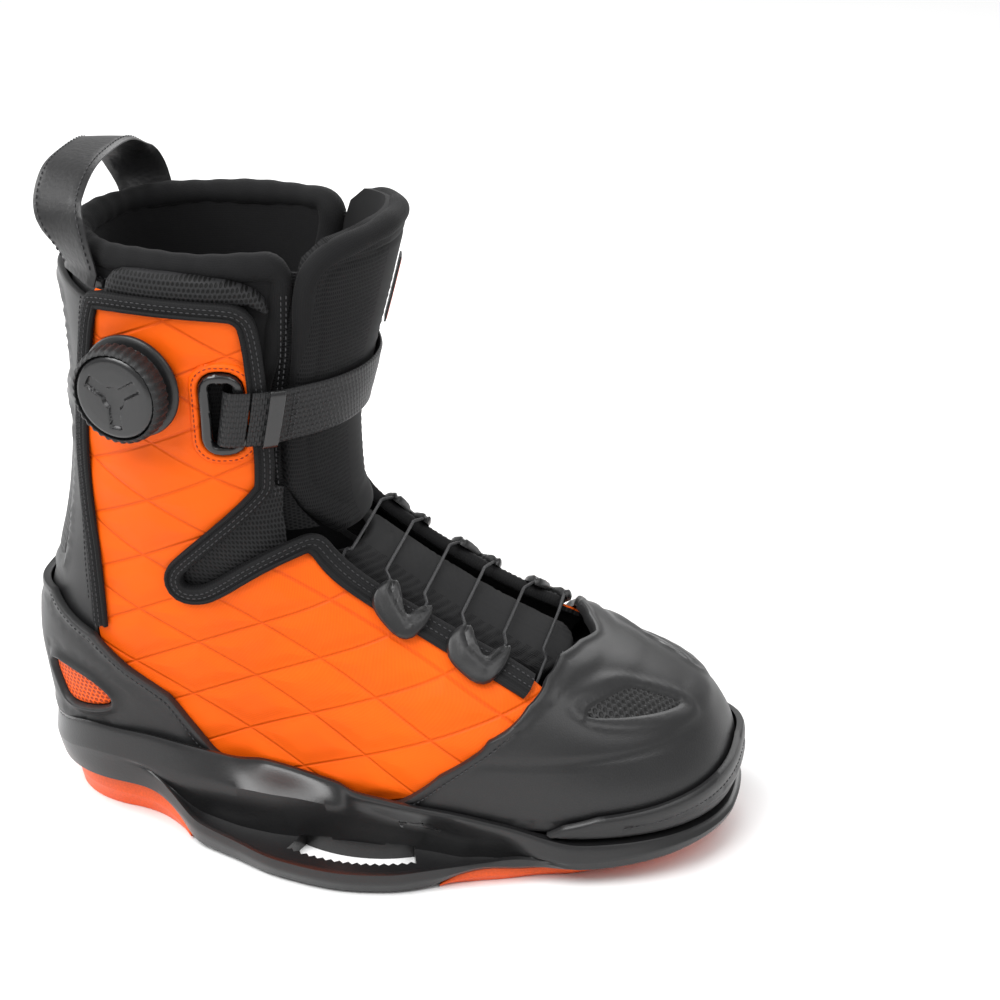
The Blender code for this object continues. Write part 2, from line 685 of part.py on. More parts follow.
def make_liner(material, parts, cutters):
    liner = last_solid("liner", LINER_HEIGHTS, -LINER_GAP, BOARD_TOP + 0.5, material, parts)
    heights = [h for h in LINER_HEIGHTS if h > 30]
    heights[-1] = RIM_Z + 4
    hollow = last_solid("liner_hollow", heights, -LINER_GAP - LINER, BOARD_TOP + 7.5, material, cutters, 22)
    cut(liner, hollow)
    behind_tongue = [(-41, 142), (-41, 176), (-38.5, 192), (-34, 210), (-28.5, 236), (-16, 292), (-13, 306)]
    shaft_throat = prism("throat_shaft", behind_tongue + [(60, 306), (60, 142)], -80, 80, material, cutters,
                         axis="Y")
    cut(liner, shaft_throat)
    side_view = [(-40, 126), (-20, 112), (84, 68), (110, 110), (0, 180), (-40, 180)]
    instep_throat = prism("throat_instep", side_view, -30, 30, material, cutters, axis="Y")
    cut(liner, instep_throat, solver="MANIFOLD")
    return liner


def make_footbed(material, parts):
    outline = sole_outline(34.0, -LINER_GAP - LINER - 2.4)
    return prism("footbed", outline, BOARD_TOP + 8.0, BOARD_TOP + 11.5, material, parts)


TONGUE_FOOT = 146.0
TONGUE_TOP = 284.0


def make_tongue(material, parts):
    edge = 0.748
    upper = [(-0.88, TONGUE_FOOT), (-0.84, 151), (-0.79, 158), (-edge, 170), (-edge, 200), (-edge, 262),
             (-edge - 0.02, 276), (-edge - 0.06, TONGUE_TOP)]
    outline = upper + [(-2 - u, z) for u, z in upper[::-1]]
    panel("tongue_shin", outline, -0.6, TONGUE, material, parts, 15.0)
    lower = [(-0.885, 91), (-0.858, 100), (-0.835, 109), (-0.82, 121), (-0.82, 133), (-0.84, 140)]
    outline = lower + [(-2 - u, z) for u, z in lower[::-1]]
    panel("tongue_instep", outline, -7.2, 5.0, material, parts, 13.0)


def make_collars(material, parts):
    """Padded collar above each quarter, outside the liner."""
    for side, name in ((LATERAL, "lateral"), (MEDIAL, "medial")):
        outline = [on_side(side, *p) for p in
                   [(-101, 262.5), (-100, 271), (-92, 275), (-62, 275), (-42, 272.5), (-33, 268),
                    (-31, 262.5)]]
        panel(f"collar_{name}", outline, -0.8, 5.0, material, parts)


# Strap, ring and ladder

UP = (0, 0, 1)
STRAP_HINGE_X = -43.0
LADDER_HINGE_X = -19.0
HINGE_CLEARANCE = 2.5      # each band stops this far from the ladder's hinge
LADDER_END_X = -104.0


def strap_band(name, stations, width, thickness, material, parts):
    """Band at strap height through (u, offset), leaning as the upper leans."""
    path = [last_surface(u, STRAP_Z, offset) for u, offset in stations]
    half = width / 2
    lean = [last_surface(u, STRAP_Z + half) - last_surface(u, STRAP_Z - half) for u, _ in stations]
    return ribbon(name, path, lean, width, thickness, material, parts)


def strap_u(side, x):
    return side * float(u_at(x, STRAP_Z))


def make_strap(fabric, plastic, parts, cutters):
    anchor = [(STRAP_HINGE_X - 0.8, 4.9), (-50, 4.8), (-53.2, 3.2), (-54, 0), (-53.4, -3.4), (-50, -5.0),
              (-41, -5.0)]
    anchor = [(strap_u(LATERAL, x), offset) for x, offset in anchor]
    strap_band("webbing_anchor", anchor, WEBBING_WIDTH, 1.4, fabric, parts)
    start, end = -strap_u(LATERAL, STRAP_HINGE_X), strap_u(MEDIAL, LADDER_HINGE_X + HINGE_CLEARANCE)
    webbing = []
    for t in np.linspace(0, 1, 15):
        offset = float(np.interp(t, [0, 0.08, 0.2, 0.85, 1], [4.9, 4.6, 2.2, 2.2, 4.0]))
        webbing.append((-start - (2 - start - end) * t, offset))
    strap_band("webbing_strap", webbing, WEBBING_WIDTH, 1.4, fabric, parts)
    keeper = [(strap_u(LATERAL, -36.5), 6.6), (strap_u(LATERAL, -32.5), 6.3)]
    strap_band("strap_keeper", keeper, WEBBING_WIDTH + 1, 1.2, plastic, parts)
    xs = np.linspace(LADDER_HINGE_X - HINGE_CLEARANCE, LADDER_END_X, 13)
    ladder = [(strap_u(MEDIAL, x), 4.8 if x < -30 else 4.2) for x in xs]
    ladder = strap_band("ladder_strap", ladder, LADDER_WIDTH, 2.6, plastic, parts)
    n = 0
    for column in range(6):
        for row in (-1, 1):
            x = LADDER_END_X + 18 + 10.5 * column
            cutter = hole_box(f"ladder_hole_{n}", x, STRAP_Z + row * 5.5, 3.9, 3.0, cutters, plastic)
            cut(ladder, cutter)
            n += 1
    return ladder


def hole_box(name, x, z, half_x, half_z, collection, material, low=0.5, high=9.0):
    """Block across the wall of the upper on the inner side."""
    corners = [side_point(MEDIAL, x + a * half_x, z + b * half_z, o)
               for o in (low, high) for a, b in ((-1, -1), (1, -1), (1, 1), (-1, 1))]
    faces = [(0, 1, 2, 3), (7, 6, 5, 4), (0, 4, 5, 1), (1, 5, 6, 2), (2, 6, 7, 3), (3, 7, 4, 0)]
    mesh = mesh_from(name, corners, faces)
    clean(mesh)
    return add_object(name, mesh, material, collection)


PEG_X = LADDER_END_X + 18 + 10.5 * 2


def make_peg_plate(material, parts, cutters):
    outline = [on_side(MEDIAL, *p) for p in oblong(PEG_X, STRAP_Z, 18, 26, 6)]
    plate = panel("peg_plate", outline, OVERLAY + 1.4, 1.4, material, parts, 8.0)
    for row in (-1, 1):
        peg = hole_box(f"peg_{row + 1}", PEG_X, STRAP_Z + row * 5.5, 2.3, 2.0, cutters, material, 1.8, 5.6)
        cut(plate, peg, "UNION")
    return plate


def make_ring(material, parts):
    """Moulded frame of the strap slot, set in the outer quarter."""
    outer = [on_side(LATERAL, *p) for p in oblong(RING[0], RING[1], RING[2], RING[3], 7.5)]
    inner = [on_side(LATERAL, *p) for p in oblong(RING[0], RING[1], RING[2] - 2 * RING_BAR,
                                                  RING[3] - 2 * RING_BAR, 2.5)]
    panel("strap_ring", outer, 2.6, 5.4, material, parts, 9.0, [inner])


# Dial

def dial_axis():
    return Vector(last_normal(DIAL_U, DIAL_Z))


def make_dial(housing_material, knob_material, grip_material, parts, cutters):
    centre, axis = Vector(last_point(DIAL_U, DIAL_Z)), dial_axis()
    base = turned("dial_base", [(0, -1.0), (14, -1.0), (14, 6.4), (18, 6.4), (18, 4.4), (22.6, 3.6),
                                (22.6, 2.0), (17.6, 2.0), (17.6, -2.6), (0, -2.6)], centre, axis,
                  housing_material, parts, 28)
    for n, place in enumerate(lace_ports()):
        port = turned(f"lace_port_{n}", [(0, 3), (1.2, 3), (1.2, -6), (0, -6)], place, axis,
                      housing_material, cutters, 10)
        cut(base, port)
    turned("dial_spool", [(0, 7.4), (5, 7.4), (5, 5.6), (11.2, 5.6), (11.2, 4.4), (9.4, 3.6), (9.4, 1.2),
                          (11.2, 0.4), (11.2, -0.4), (0, -0.4)], centre, axis, housing_material, parts, 24)
    turned("dial_knob", [(0, 17.5), (13, 17.5), (17.6, 16.4), (18.6, 15), (18.6, 8.2), (7, 8.2), (7, 10.5),
                         (0, 10.5)], centre, axis, knob_material, parts, 28)
    turned("dial_grip", [(19.0, 16.2), (20.6, 15), (21.2, 12), (21.4, 7.6), (19.0, 7.6), (19.0, 16.2)],
           centre, axis, grip_material, parts, 28)


PORT_RADIUS = 12.7


def lace_ports():
    """Where the two lace ends rise through the dial's floor: the front one, then the rear one."""
    centre, axis = Vector(last_point(DIAL_U, DIAL_Z)), dial_axis()
    rear = axis.cross(Vector(UP)).normalized()
    down = rear.cross(axis).normalized()
    if down.z > 0:
        down = -down
    reach = PORT_RADIUS / math.sqrt(2)
    return [centre + (down - rear) * reach, centre + (down + rear) * reach]


# Lace and its guides

LAST_TURN_BACK = 3.0       # keeps the last turn off the toe cap


def lace_turn(side, k):
    """Lace between crossings k and k + 1, over the quarter's binding."""
    (x0, z0, _), (x1, z1, _) = CROSSINGS[k], CROSSINGS[k + 1]
    if k == len(CROSSINGS) - 2:
        x1 -= LAST_TURN_BACK
    return [side_point(side, x0 + 1.5, z0 - 4.0, 3.9), side_point(side, x0 + 0.5, z0 - 9.5, 4.2),
            side_point(side, x0 + 4, z0 - 13.5, 4.2), side_point(side, x1 - 5.5, z1 - 11.5, 4.2),
            side_point(side, x1 - 0.5, z1 - 9.0, 4.2), side_point(side, x1 + 1.0, z1 - 4.0, 3.9)]


HIDDEN_UPPER = [(-13, 131), (-32, 117), (-60, 103), (-88, 107), (-99, 130), (-98, 165), (-88, 195)]
HIDDEN_LOWER = [(75, 84), (55, 74), (20, 72), (-30, 78), (-75, 84), (-101, 96), (-110, 125), (-111, 165),
                (-104, 197)]


def lace_path():
    ports = lace_ports()
    axis = dial_axis()
    upper = [ports[0] + axis * 1.5, ports[0] - axis * 3.0, ports[0] - axis * 5.2 - Vector(UP) * 3]
    upper += [side_point(LATERAL, x, z, LACE_UNDER) for x, z in HIDDEN_UPPER[::-1]]
    upper.append(side_point(LATERAL, -7.5, 139.5, -3.2))
    lower = [side_point(LATERAL, 79.5, 92.5, -2.6)]
    lower += [side_point(LATERAL, x, z, LACE_UNDER) for x, z in HIDDEN_LOWER]
    lower += [ports[1] - axis * 5.2 - Vector(UP) * 3, ports[1] - axis * 3.0, ports[1] + axis * 1.5]
    path = smooth_path(upper, 14)
    side = LATERAL
    for k, (x, z, half) in enumerate(CROSSINGS):
        path += [(x, side * half, z), (x, 0, z - 0.2), (x, -side * half, z)]
        side = -side
        if k < len(CROSSINGS) - 1:
            path += lace_turn(side, k)
    return path + smooth_path(lower, 14)


GUIDES = [(MEDIAL, 0), (LATERAL, 1), (MEDIAL, 2), (LATERAL, 3), (MEDIAL, 4)]


def guide_outline(side, k):
    (x0, z0, _), (x1, z1, _) = CROSSINGS[k], CROSSINGS[k + 1]
    if k == len(CROSSINGS) - 2:
        x1 -= LAST_TURN_BACK
    corners = [(x0 - 5, z0 - 7.5), (x0 - 1, z0 - 15), (x1 - 5, z1 - 16), (x1 + 3.5, z1 - 10.5),
               (x1 + 4, z1 - 5), (x1 - 3, z1 - 4.5), (x1 - 6, z1 - 7), (x0 + 7, z0 - 9),
               (x0 + 4.5, z0 - 5), (x0 - 1, z0 - 3.5)]
    return [on_side(side, *p) for p in corners]


def make_lace(material, guide_material, parts, cutters):
    path = lace_path()
    tube("lace", path, LACE_R, material, parts)
    groove = curve_to_mesh(tube("lace_groove", path, LACE_R + 0.5, guide_material, cutters), cutters)
    for n, (side, k) in enumerate(GUIDES):
        guide = panel(f"lace_guide_{n + 1}", guide_outline(side, k), 6.3, 2.8, guide_material, parts, 9.0)
        cut(guide, groove)


# Loop, label and tab

def make_pull_loop(material, parts):
    feet = [side_point(side, -117, 266, -2.6) for side in (LATERAL, MEDIAL)]
    arch = [feet[0], feet[0] + (-4, -1.5, 14), (-125, -39, 292), (-126, -24, 301.5), (-125.5, -3, 304),
            (-125, 20, 302), (-124, 38, 292), feet[1] + (-4, 1.5, 14), feet[1]]
    path = smooth_path(arch, 9)
    flat = [last_point(-0.236, 266.0) - last_point(-0.25, 266.0), last_point(0.25, 266.0)
            - last_point(0.236, 266.0)]
    side_ways = [Vector(-flat[0]).normalized(), Vector(flat[1]).normalized()]
    across = []
    for i in range(len(path)):
        t = i / (len(path) - 1)
        start, end = side_ways
        bow = Vector((1, 0, 0.05))
        blend = start * max(0, 1 - 2.4 * t) + end * max(0, 2.4 * t - 1.4)
        across.append(blend + bow * max(0, 1 - abs(2 * t - 1)) * 1.2)
    ribbon("pull_loop", path, across, 24, 3.0, material, parts)
    for side, name in ((LATERAL, "lateral"), (MEDIAL, "medial")):
        outline = [on_side(side, *p) for p in [(-128, 238), (-107, 238), (-106, 262.5), (-127, 262.5)]]
        panel(f"loop_anchor_{name}", outline, -SHELL - 1.1, 1.8, material, parts)


def make_trim(label_material, parts):
    label = [(-1.085, 232), (-1.045, 232), (-1.045, 262), (-1.085, 262)]
    panel("tongue_label", label, 0.6, 0.8, label_material, parts, 9.0)
    tab = [on_side(MEDIAL, *p) for p in [(-66, 108), (-70, 98), (-50, 97), (-47, 106)]]
    panel("side_tab", tab, OVERLAY + 0.9, 0.9, label_material, parts, 9.0)


def main():
    for obj in list(bpy.data.objects):
        bpy.data.objects.remove(obj)
    parts = bpy.data.collections.new("wakeboard_boot")
    cutters = bpy.data.collections.new("cutters")
    for collection in (parts, cutters):
        bpy.context.scene.collection.children.link(collection)
    orange = make_material("orange_shell", (1.0, 0.12, 0.0), 0.5)
    orange_foam = make_material("orange_foam", (1.0, 0.10, 0.0), 0.6)
    black = make_material("black_plastic", (0.02, 0.02, 0.022), 0.4)
    rubber = make_material("black_rubber", (0.025, 0.025, 0.027), 0.6)
    trim = make_material("black_trim", (0.03, 0.03, 0.03), 0.5)
    mesh_fabric = make_material("black_mesh", (0.02, 0.02, 0.02), 0.9)
    neoprene = make_material("liner_fabric", (0.03, 0.03, 0.032), 0.85)
    webbing = make_material("webbing", (0.03, 0.03, 0.03), 0.7)
    board = make_material("fibre_board", (0.25, 0.2, 0.15), 0.8)
    foam = make_material("footbed_foam", (0.08, 0.08, 0.08), 0.8)
    steel = make_material("steel", (0.6, 0.6, 0.6), 0.35, 1.0)
    make_chassis(black, parts, cutters)
    make_heel_pad(orange_foam, parts)
    make_toe_pad(orange_foam, parts)
    make_lasting_board(board, parts, cutters)
    make_screws(steel, parts)
    make_quarters(orange, trim, parts)
    make_gussets(mesh_fabric, parts)
    make_toe_cap(rubber, parts)
    make_toe_bumper(rubber, parts)
    make_heel_cup(rubber, orange_foam, parts)
    make_spine(rubber, parts)
    make_liner(neoprene, parts, cutters)
    make_footbed(foam, parts)
    make_tongue(mesh_fabric, parts)
    make_collars(mesh_fabric, parts)
    make_strap(webbing, black, parts, cutters)
    make_peg_plate(black, parts, cutters)
    make_ring(black, parts)
    make_dial(black, black, rubber, parts, cutters)
    make_lace(webbing, black, parts, cutters)
    make_pull_loop(rubber, parts)
    make_trim(rubber, parts)


main()
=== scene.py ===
import math
import bmesh
import bpy
import numpy as np
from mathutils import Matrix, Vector
from mathutils.geometry import delaunay_2d_cdt


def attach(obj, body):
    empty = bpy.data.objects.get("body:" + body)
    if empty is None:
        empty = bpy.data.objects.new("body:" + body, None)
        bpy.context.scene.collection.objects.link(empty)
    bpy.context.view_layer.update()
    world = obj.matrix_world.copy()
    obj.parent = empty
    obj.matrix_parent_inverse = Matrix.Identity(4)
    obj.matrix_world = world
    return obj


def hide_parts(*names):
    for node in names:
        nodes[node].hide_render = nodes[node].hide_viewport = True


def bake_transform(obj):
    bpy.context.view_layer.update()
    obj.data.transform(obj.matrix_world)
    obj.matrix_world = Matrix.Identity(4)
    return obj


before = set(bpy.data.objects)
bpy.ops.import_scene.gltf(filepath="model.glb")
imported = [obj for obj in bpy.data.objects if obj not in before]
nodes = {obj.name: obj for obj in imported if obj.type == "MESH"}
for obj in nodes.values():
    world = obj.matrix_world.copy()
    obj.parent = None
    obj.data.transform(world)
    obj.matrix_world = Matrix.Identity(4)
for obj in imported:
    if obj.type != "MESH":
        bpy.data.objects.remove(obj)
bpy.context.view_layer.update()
print("frame loaded")

# The upper is drawn on one surface: height, back x, front x, half width outside and inside, ball bulge
# outside and inside, rounding length at the back and at the front, front squareness. Millimetres.
slices = np.array([
    [18, -140, 148, 37, 36, 16, 12, 42, 74, 2.4],
    [38, -151, 156, 39, 39, 20, 15, 45, 76, 2.4],
    [60, -155, 147, 40, 40, 17, 13, 48, 80, 2.3],
    [80, -157, 116, 42, 42, 10, 7, 52, 82, 2.4],
    [95, -156, 79, 44, 44, 4, 3, 56, 80, 2.4],
    [110, -152, 48, 46, 46, 1, 1, 59, 76, 2.3],
    [125, -149, 22, 48, 48, 0, 0, 61, 72, 2.2],
    [140, -145, 1, 50, 50, 0, 0, 63, 66, 2.1],
    [160, -141, -10, 53, 53, 0, 0, 64, 64, 2.0],
    [185, -138, -11, 56, 56, 0, 0, 63, 64, 2.0],
    [215, -137, -5, 58, 58, 0, 0, 66, 66, 2.0],
    [250, -138, 4, 60, 60, 0, 0, 71, 71, 2.0],
    [290, -139, 14, 62, 62, 0, 0, 76, 76, 2.0]], float)
toeShift = 8.0
flatWidth = 300  # millimetres that one unit of u stands for in flat work
flatScale = (flatWidth, 1)
outerSide, innerSide = -1, 1
sideNames = {outerSide: "lateral", innerSide: "medial"}


def smoothTable(xs, ys, x):
    step = np.diff(xs)
    rise = np.diff(ys) / step
    slope = np.zeros(len(xs))
    for i in range(1, len(xs) - 1):
        if rise[i - 1] * rise[i] > 0:
            a = 2 * step[i] + step[i - 1]
            b = step[i] + 2 * step[i - 1]
            slope[i] = (a + b) / (a / rise[i - 1] + b / rise[i])
    slope[0], slope[-1] = rise[0], rise[-1]
    x = np.clip(x, xs[0], xs[-1])
    i = np.clip(np.searchsorted(xs, x) - 1, 0, len(xs) - 2)
    t = (x - xs[i]) / step[i]
    return ((1 + 2 * t) * (1 - t) ** 2 * ys[i] + t * (1 - t) ** 2 * step[i] * slope[i]
            + t * t * (3 - 2 * t) * ys[i + 1] + t * t * (t - 1) * step[i] * slope[i + 1])


def sliceValue(column, z):
    return smoothTable(slices[:, 0], slices[:, column], z)


def along(table, x):
    xs, ys = np.array(table, float).T
    return smoothTable(xs, ys, np.asarray(x, float))


def ease(a, b, x):
    t = np.clip((np.asarray(x, float) - a) / (b - a), 0, 1)
    return t * t * (3 - 2 * t)


def lastPoint(u, z):  # u is 0 at the heel and 1 at the toe, below 0 on the outer side
    u, z = np.broadcast_arrays(np.asarray(u, float), np.asarray(z, float))
    turn = ((u + 1) % 2) - 1
    side = np.where(turn >= 0, 1, -1)
    back, front = sliceValue(1, z), sliceValue(2, z)
    x = back + (front - back) * (1 - np.cos(np.pi * np.abs(turn))) / 2
    half = np.where(side > 0, sliceValue(4, z), sliceValue(3, z))
    half = half + np.where(side > 0, sliceValue(6, z), sliceValue(5, z)) * ease(-60, 50, x)
    square = sliceValue(9, z)
    atBack = np.clip(1 - (x - back) / sliceValue(7, z), 0, 1)
    atFront = np.clip(1 - (front - x) / sliceValue(8, z), 0, 1)
    y = side * half * (1 - atBack ** 2.2) ** (1 / 2.2) * (1 - atFront ** square) ** (1 / square)
    return np.stack([x, y + toeShift * ease(40, 160, x), z], -1)


def lastNormal(u, z):
    u, z = np.asarray(u, float), np.asarray(z, float)
    ahead = lastPoint(u + 1e-3, z) - lastPoint(u - 1e-3, z)
    up = lastPoint(u, z + 0.3) - lastPoint(u, z - 0.3)
    normal = np.cross(up, ahead)
    return normal / np.linalg.norm(normal, axis=-1, keepdims=True)


def lastSurface(u, z, offset=0.0):
    return lastPoint(u, z) + np.asarray(offset, float)[..., None] * lastNormal(u, z)


def uAt(x, z):
    back, front = sliceValue(1, z), sliceValue(2, z)
    t = np.clip((x - back) / (front - back), 0, 1)
    return np.arccos(1 - 2 * t) / np.pi


def onSide(side, points):  # side view x, z to the surface's own u, z
    points = np.array(points, float)
    return np.stack([side * uAt(points[:, 0], points[:, 1]), points[:, 1]], 1)


def sidePoint(side, x, z, offset):
    return lastSurface(side * uAt(x, z), z, offset)


# Shape helpers

def softened(path, times=1, closed=False):
    points = np.array(path, float)
    for _ in range(times):
        after = np.roll(points, -1, axis=0) if closed else points[1:]
        here = points if closed else points[:-1]
        cut = np.stack([0.75 * here + 0.25 * after, 0.25 * here + 0.75 * after], 1)
        cut = cut.reshape(-1, points.shape[1])
        points = cut if closed else np.vstack([points[:1], cut[1:-1], points[-1:]])
    return points


def spaced(path, step, closed=False):  # equal steps along a path in millimetres
    path = np.array(path, float)
    if closed:
        path = np.vstack([path, path[:1]])
    length = np.concatenate([[0], np.cumsum(np.linalg.norm(np.diff(path, axis=0), axis=1))])
    at = np.linspace(0, length[-1], max(2, round(length[-1] / step)))
    result = np.stack([np.interp(at, length, path[:, k]) for k in range(path.shape[1])], 1)
    return result[:-1] if closed else result


def smoothPath(points, step):
    points = np.array(points, float)
    padded = np.vstack([2 * points[0] - points[1], points, 2 * points[-1] - points[-2]])
    result = []
    for i in range(1, len(padded) - 2):
        a, b, c, d = padded[i - 1:i + 3]
        count = max(1, round(np.linalg.norm(c - b) / step))
        for t in np.arange(count) / count:
            result.append(0.5 * (2 * b + (c - a) * t + (2 * a - 5 * b + 4 * c - d) * t * t
                                 + (3 * b - a - 3 * c + d) * t ** 3))
    return np.array(result + [points[-1]])


def insideRing(points, ring):
    x, y = points[:, 0], points[:, 1]
    hit = np.zeros(len(points), bool)
    for (ax, ay), (bx, by) in zip(ring, np.roll(ring, -1, axis=0)):
        if ay == by:
            continue
        crosses = ((ay > y) != (by > y)) & (x < (bx - ax) * (y - ay) / (by - ay) + ax)
        hit ^= crosses
    return hit


def nearest(points, others):  # distance from each point to the nearest of the others
    result = np.full(len(points), 1e9)
    for start in range(0, len(points), 500):
        gap = points[start:start + 500, None] - others[None]
        result[start:start + 500] = np.sqrt((gap ** 2).sum(-1).min(1))
    return result


def gridOnLast(low, high, spacing):  # rows of points about one spacing apart over a range of u and z
    rows = []
    z = low[1] + spacing / 2
    shift = 0.0
    while z < high[1]:
        us = np.linspace(low[0], high[0], 600)
        line = lastPoint(us, z)
        length = np.concatenate([[0], np.cumsum(np.linalg.norm(np.diff(line, axis=0), axis=1))])
        at = np.arange(spacing * (0.25 + shift), length[-1], spacing)
        rows.append(np.stack([np.interp(at, length, us), np.full(len(at), z)], 1))
        lean = abs(float(sliceValue(2, z + 1) - sliceValue(2, z - 1))) / 2
        steep = math.hypot(1, min(lean, 2.2)) if max(abs(low[0]), abs(high[0])) > 0.8 else 1.0
        z += spacing * 0.87 / steep
        shift = 0.5 - shift
    return np.vstack(rows)


def finish(name, mesh, material, body, replaces=(), bevel=0.0, segments=2, smoothAngle=40, lining=None):
    mesh.materials.clear()
    mesh.materials.append(material)
    if lining:
        mesh.materials.append(lining)
        for polygon in mesh.polygons[mesh["outerFaces"]:]:
            polygon.material_index = 1
    mesh.shade_smooth()
    mesh.set_sharp_from_angle(angle=math.radians(smoothAngle))
    obj = bpy.data.objects.new(name, mesh)
    bpy.context.scene.collection.objects.link(obj)
    if bevel:
        edge = obj.modifiers.new("edge", "BEVEL")
        edge.width = bevel / 1000
        edge.segments = segments
        edge.limit_method = "ANGLE"
        edge.angle_limit = math.radians(50)
        edge.harden_normals = False
    if body:
        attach(obj, body)
    if replaces:
        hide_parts(*replaces)
    return obj


def meshOf(name, points, faces, uvs=None):
    mesh = bpy.data.meshes.new(name)
    mesh.from_pydata((np.asarray(points) / 1000).tolist(), [], [tuple(int(i) for i in f) for f in faces])
    if uvs is not None:
        layer = mesh.uv_layers.new(name="surface")
        loops = np.zeros(len(mesh.loops), int)
        mesh.loops.foreach_get("vertex_index", loops)
        layer.data.foreach_set("uv", (np.asarray(uvs)[loops] / 1000).astype(np.float32).ravel())
    mesh.validate()
    return mesh


def fineRing(ring, spacing):
    ring = np.array(ring, float)
    result = []
    for a, b in zip(ring, np.roll(ring, -1, axis=0)):
        length = np.linalg.norm(lastPoint(*a) - lastPoint(*b))
        count = max(1, math.ceil(length / spacing))
        result += [a + (b - a) * i / count for i in range(count)]
    return np.array(result)


def rimRow(ring, distance, isHole):  # points at one distance inside a rim, so that its edge shapes run true
    here = lastPoint(ring[:, 0], ring[:, 1])
    ahead = np.roll(here, -1, axis=0) - np.roll(here, 1, axis=0)
    area = (ring[:, 0] * np.roll(ring[:, 1], -1) - np.roll(ring[:, 0], -1) * ring[:, 1]).sum()
    inward = np.cross(ahead, lastNormal(ring[:, 0], ring[:, 1])) * (1 if (area > 0) != isHole else -1)
    inward *= distance / np.linalg.norm(inward, axis=1, keepdims=True)
    du = (lastPoint(ring[:, 0] + 1e-3, ring[:, 1]) - lastPoint(ring[:, 0] - 1e-3, ring[:, 1])) / 2e-3
    dz = (lastPoint(ring[:, 0], ring[:, 1] + 0.2) - lastPoint(ring[:, 0], ring[:, 1] - 0.2)) / 0.4
    a, b, c = (du * du).sum(1), (du * dz).sum(1), (dz * dz).sum(1)
    p, q = (du * inward).sum(1), (dz * inward).sum(1)
    det = np.maximum(a * c - b * b, 1e-9)
    moved = ring + np.stack([(c * p - b * q) / det, (a * q - b * p) / det], 1)
    gap = nearest(lastPoint(moved[:, 0], moved[:, 1]), here)
    return moved[(gap > distance * 0.9) & (gap < distance * 1.6)]


def evened(points, faces):  # turns long thin triangles about, by their true shape in space
    bm = bmesh.new()
    verts = [bm.verts.new(p) for p in points]
    for f in faces:
        bm.faces.new([verts[i] for i in f])
    bm.verts.index_update()
    inner = [e for e in bm.edges if not e.is_boundary]
    bmesh.ops.beautify_fill(bm, faces=bm.faces, edges=inner, method="ANGLE")
    result = [tuple(v.index for v in f.verts) for f in bm.faces]
    bm.free()
    return result


def panelMesh(name, outline, top, thickness, spacing, relief=None, holes=(), fine=(),
              rows=(0.7, 1.6, 2.8, 4.2, 5.8), plan=False):
    # relief(x, z, u, rim) is added to the outer face; fine lists areas with a closer spacing
    rings = [fineRing(outline, spacing)] + [fineRing(hole, min(spacing, 1.5)) for hole in holes]
    rim = np.vstack([lastPoint(r[:, 0], r[:, 1]) for r in rings])
    grid = gridOnLast(rings[0].min(0), rings[0].max(0), spacing)
    for area, step in fine:
        area = np.array(area, float)
        grid = grid[~insideRing(grid, area)]
        extra = gridOnLast(area.min(0), area.max(0), step)
        border = fineRing(area, step)
        edge = lastPoint(border[:, 0], border[:, 1])
        extra = extra[insideRing(extra, area)]
        extra = extra[nearest(lastPoint(extra[:, 0], extra[:, 1]), edge) > step * 0.6]
        grid = grid[nearest(lastPoint(grid[:, 0], grid[:, 1]), edge) > spacing * 0.6]
        grid = np.vstack([grid, border, extra])
    bands = [rimRow(ring, d, n > 0) for n, ring in enumerate(rings) for d in rows]
    bands = np.vstack(bands) if rows else np.zeros((0, 2))
    away = (rows[-1] if rows else 0) + spacing * 0.5
    grid = grid[nearest(lastPoint(grid[:, 0], grid[:, 1]), rim) > away]
    grid = np.vstack([bands, grid])
    grid = grid[insideRing(grid, rings[0])]
    for ring in rings[1:]:
        grid = grid[~insideRing(grid, ring)]
    points, edges = [], []
    for ring in rings:
        edges += [(len(points) + i, len(points) + (i + 1) % len(ring)) for i in range(len(ring))]
        points += list(ring)
    flat = [Vector((u * flatWidth, z)) for u, z in points] + [Vector((u * flatWidth, z)) for u, z in grid]
    verts, _, faces, *_ = delaunay_2d_cdt(flat, edges, [], 0, 1e-4)
    uz = np.array([(v.x / flatWidth, v.y) for v in verts])
    centres = np.array([uz[list(f)].mean(0) for f in faces])
    keep = insideRing(centres, rings[0])
    for ring in rings[1:]:
        keep &= ~insideRing(centres, ring)
    faces = [tuple(f) for f, k in zip(faces, keep) if k]
    outward = lastPoint(uz[:, 0], uz[:, 1])
    normal = lastNormal(uz[:, 0], uz[:, 1])
    a, b, c = (outward[[f[k] for f in faces]] for k in range(3))
    way = (np.cross(b - a, c - a) * normal[[f[0] for f in faces]]).sum(1).sum()
    if way < 0:
        faces = [f[::-1] for f in faces]
    used = sorted({i for f in faces for i in f})
    number = {old: new for new, old in enumerate(used)}
    faces = [tuple(number[i] for i in f) for f in faces]
    uz, outward, normal = uz[used], outward[used], normal[used]
    faces = evened(outward, faces)
    offset = np.full(len(uz), float(top))
    if relief:
        offset = offset + relief(outward[:, 0], uz[:, 1], uz[:, 0], nearest(outward, rim))
    count = len(uz)
    points = np.vstack([outward + offset[:, None] * normal, outward + (top - thickness) * normal])
    half = {(f[i], f[(i + 1) % 3]) for f in faces for i in range(3)}
    border = [(f[i], f[(i + 1) % 3]) for f in faces for i in range(3) if (f[(i + 1) % 3], f[i]) not in half]
    allFaces = faces + [tuple(i + count for i in f[::-1]) for f in faces]
    allFaces += [(a + count, b + count, b, a) for a, b in border]
    uv = outward[:, :2] if plan else np.stack([uz[:, 0] * flatWidth, uz[:, 1]], 1)
    mesh = meshOf(name, points, allFaces, np.vstack([uv, uv]))
    mesh["outerFaces"] = len(faces)
    return mesh


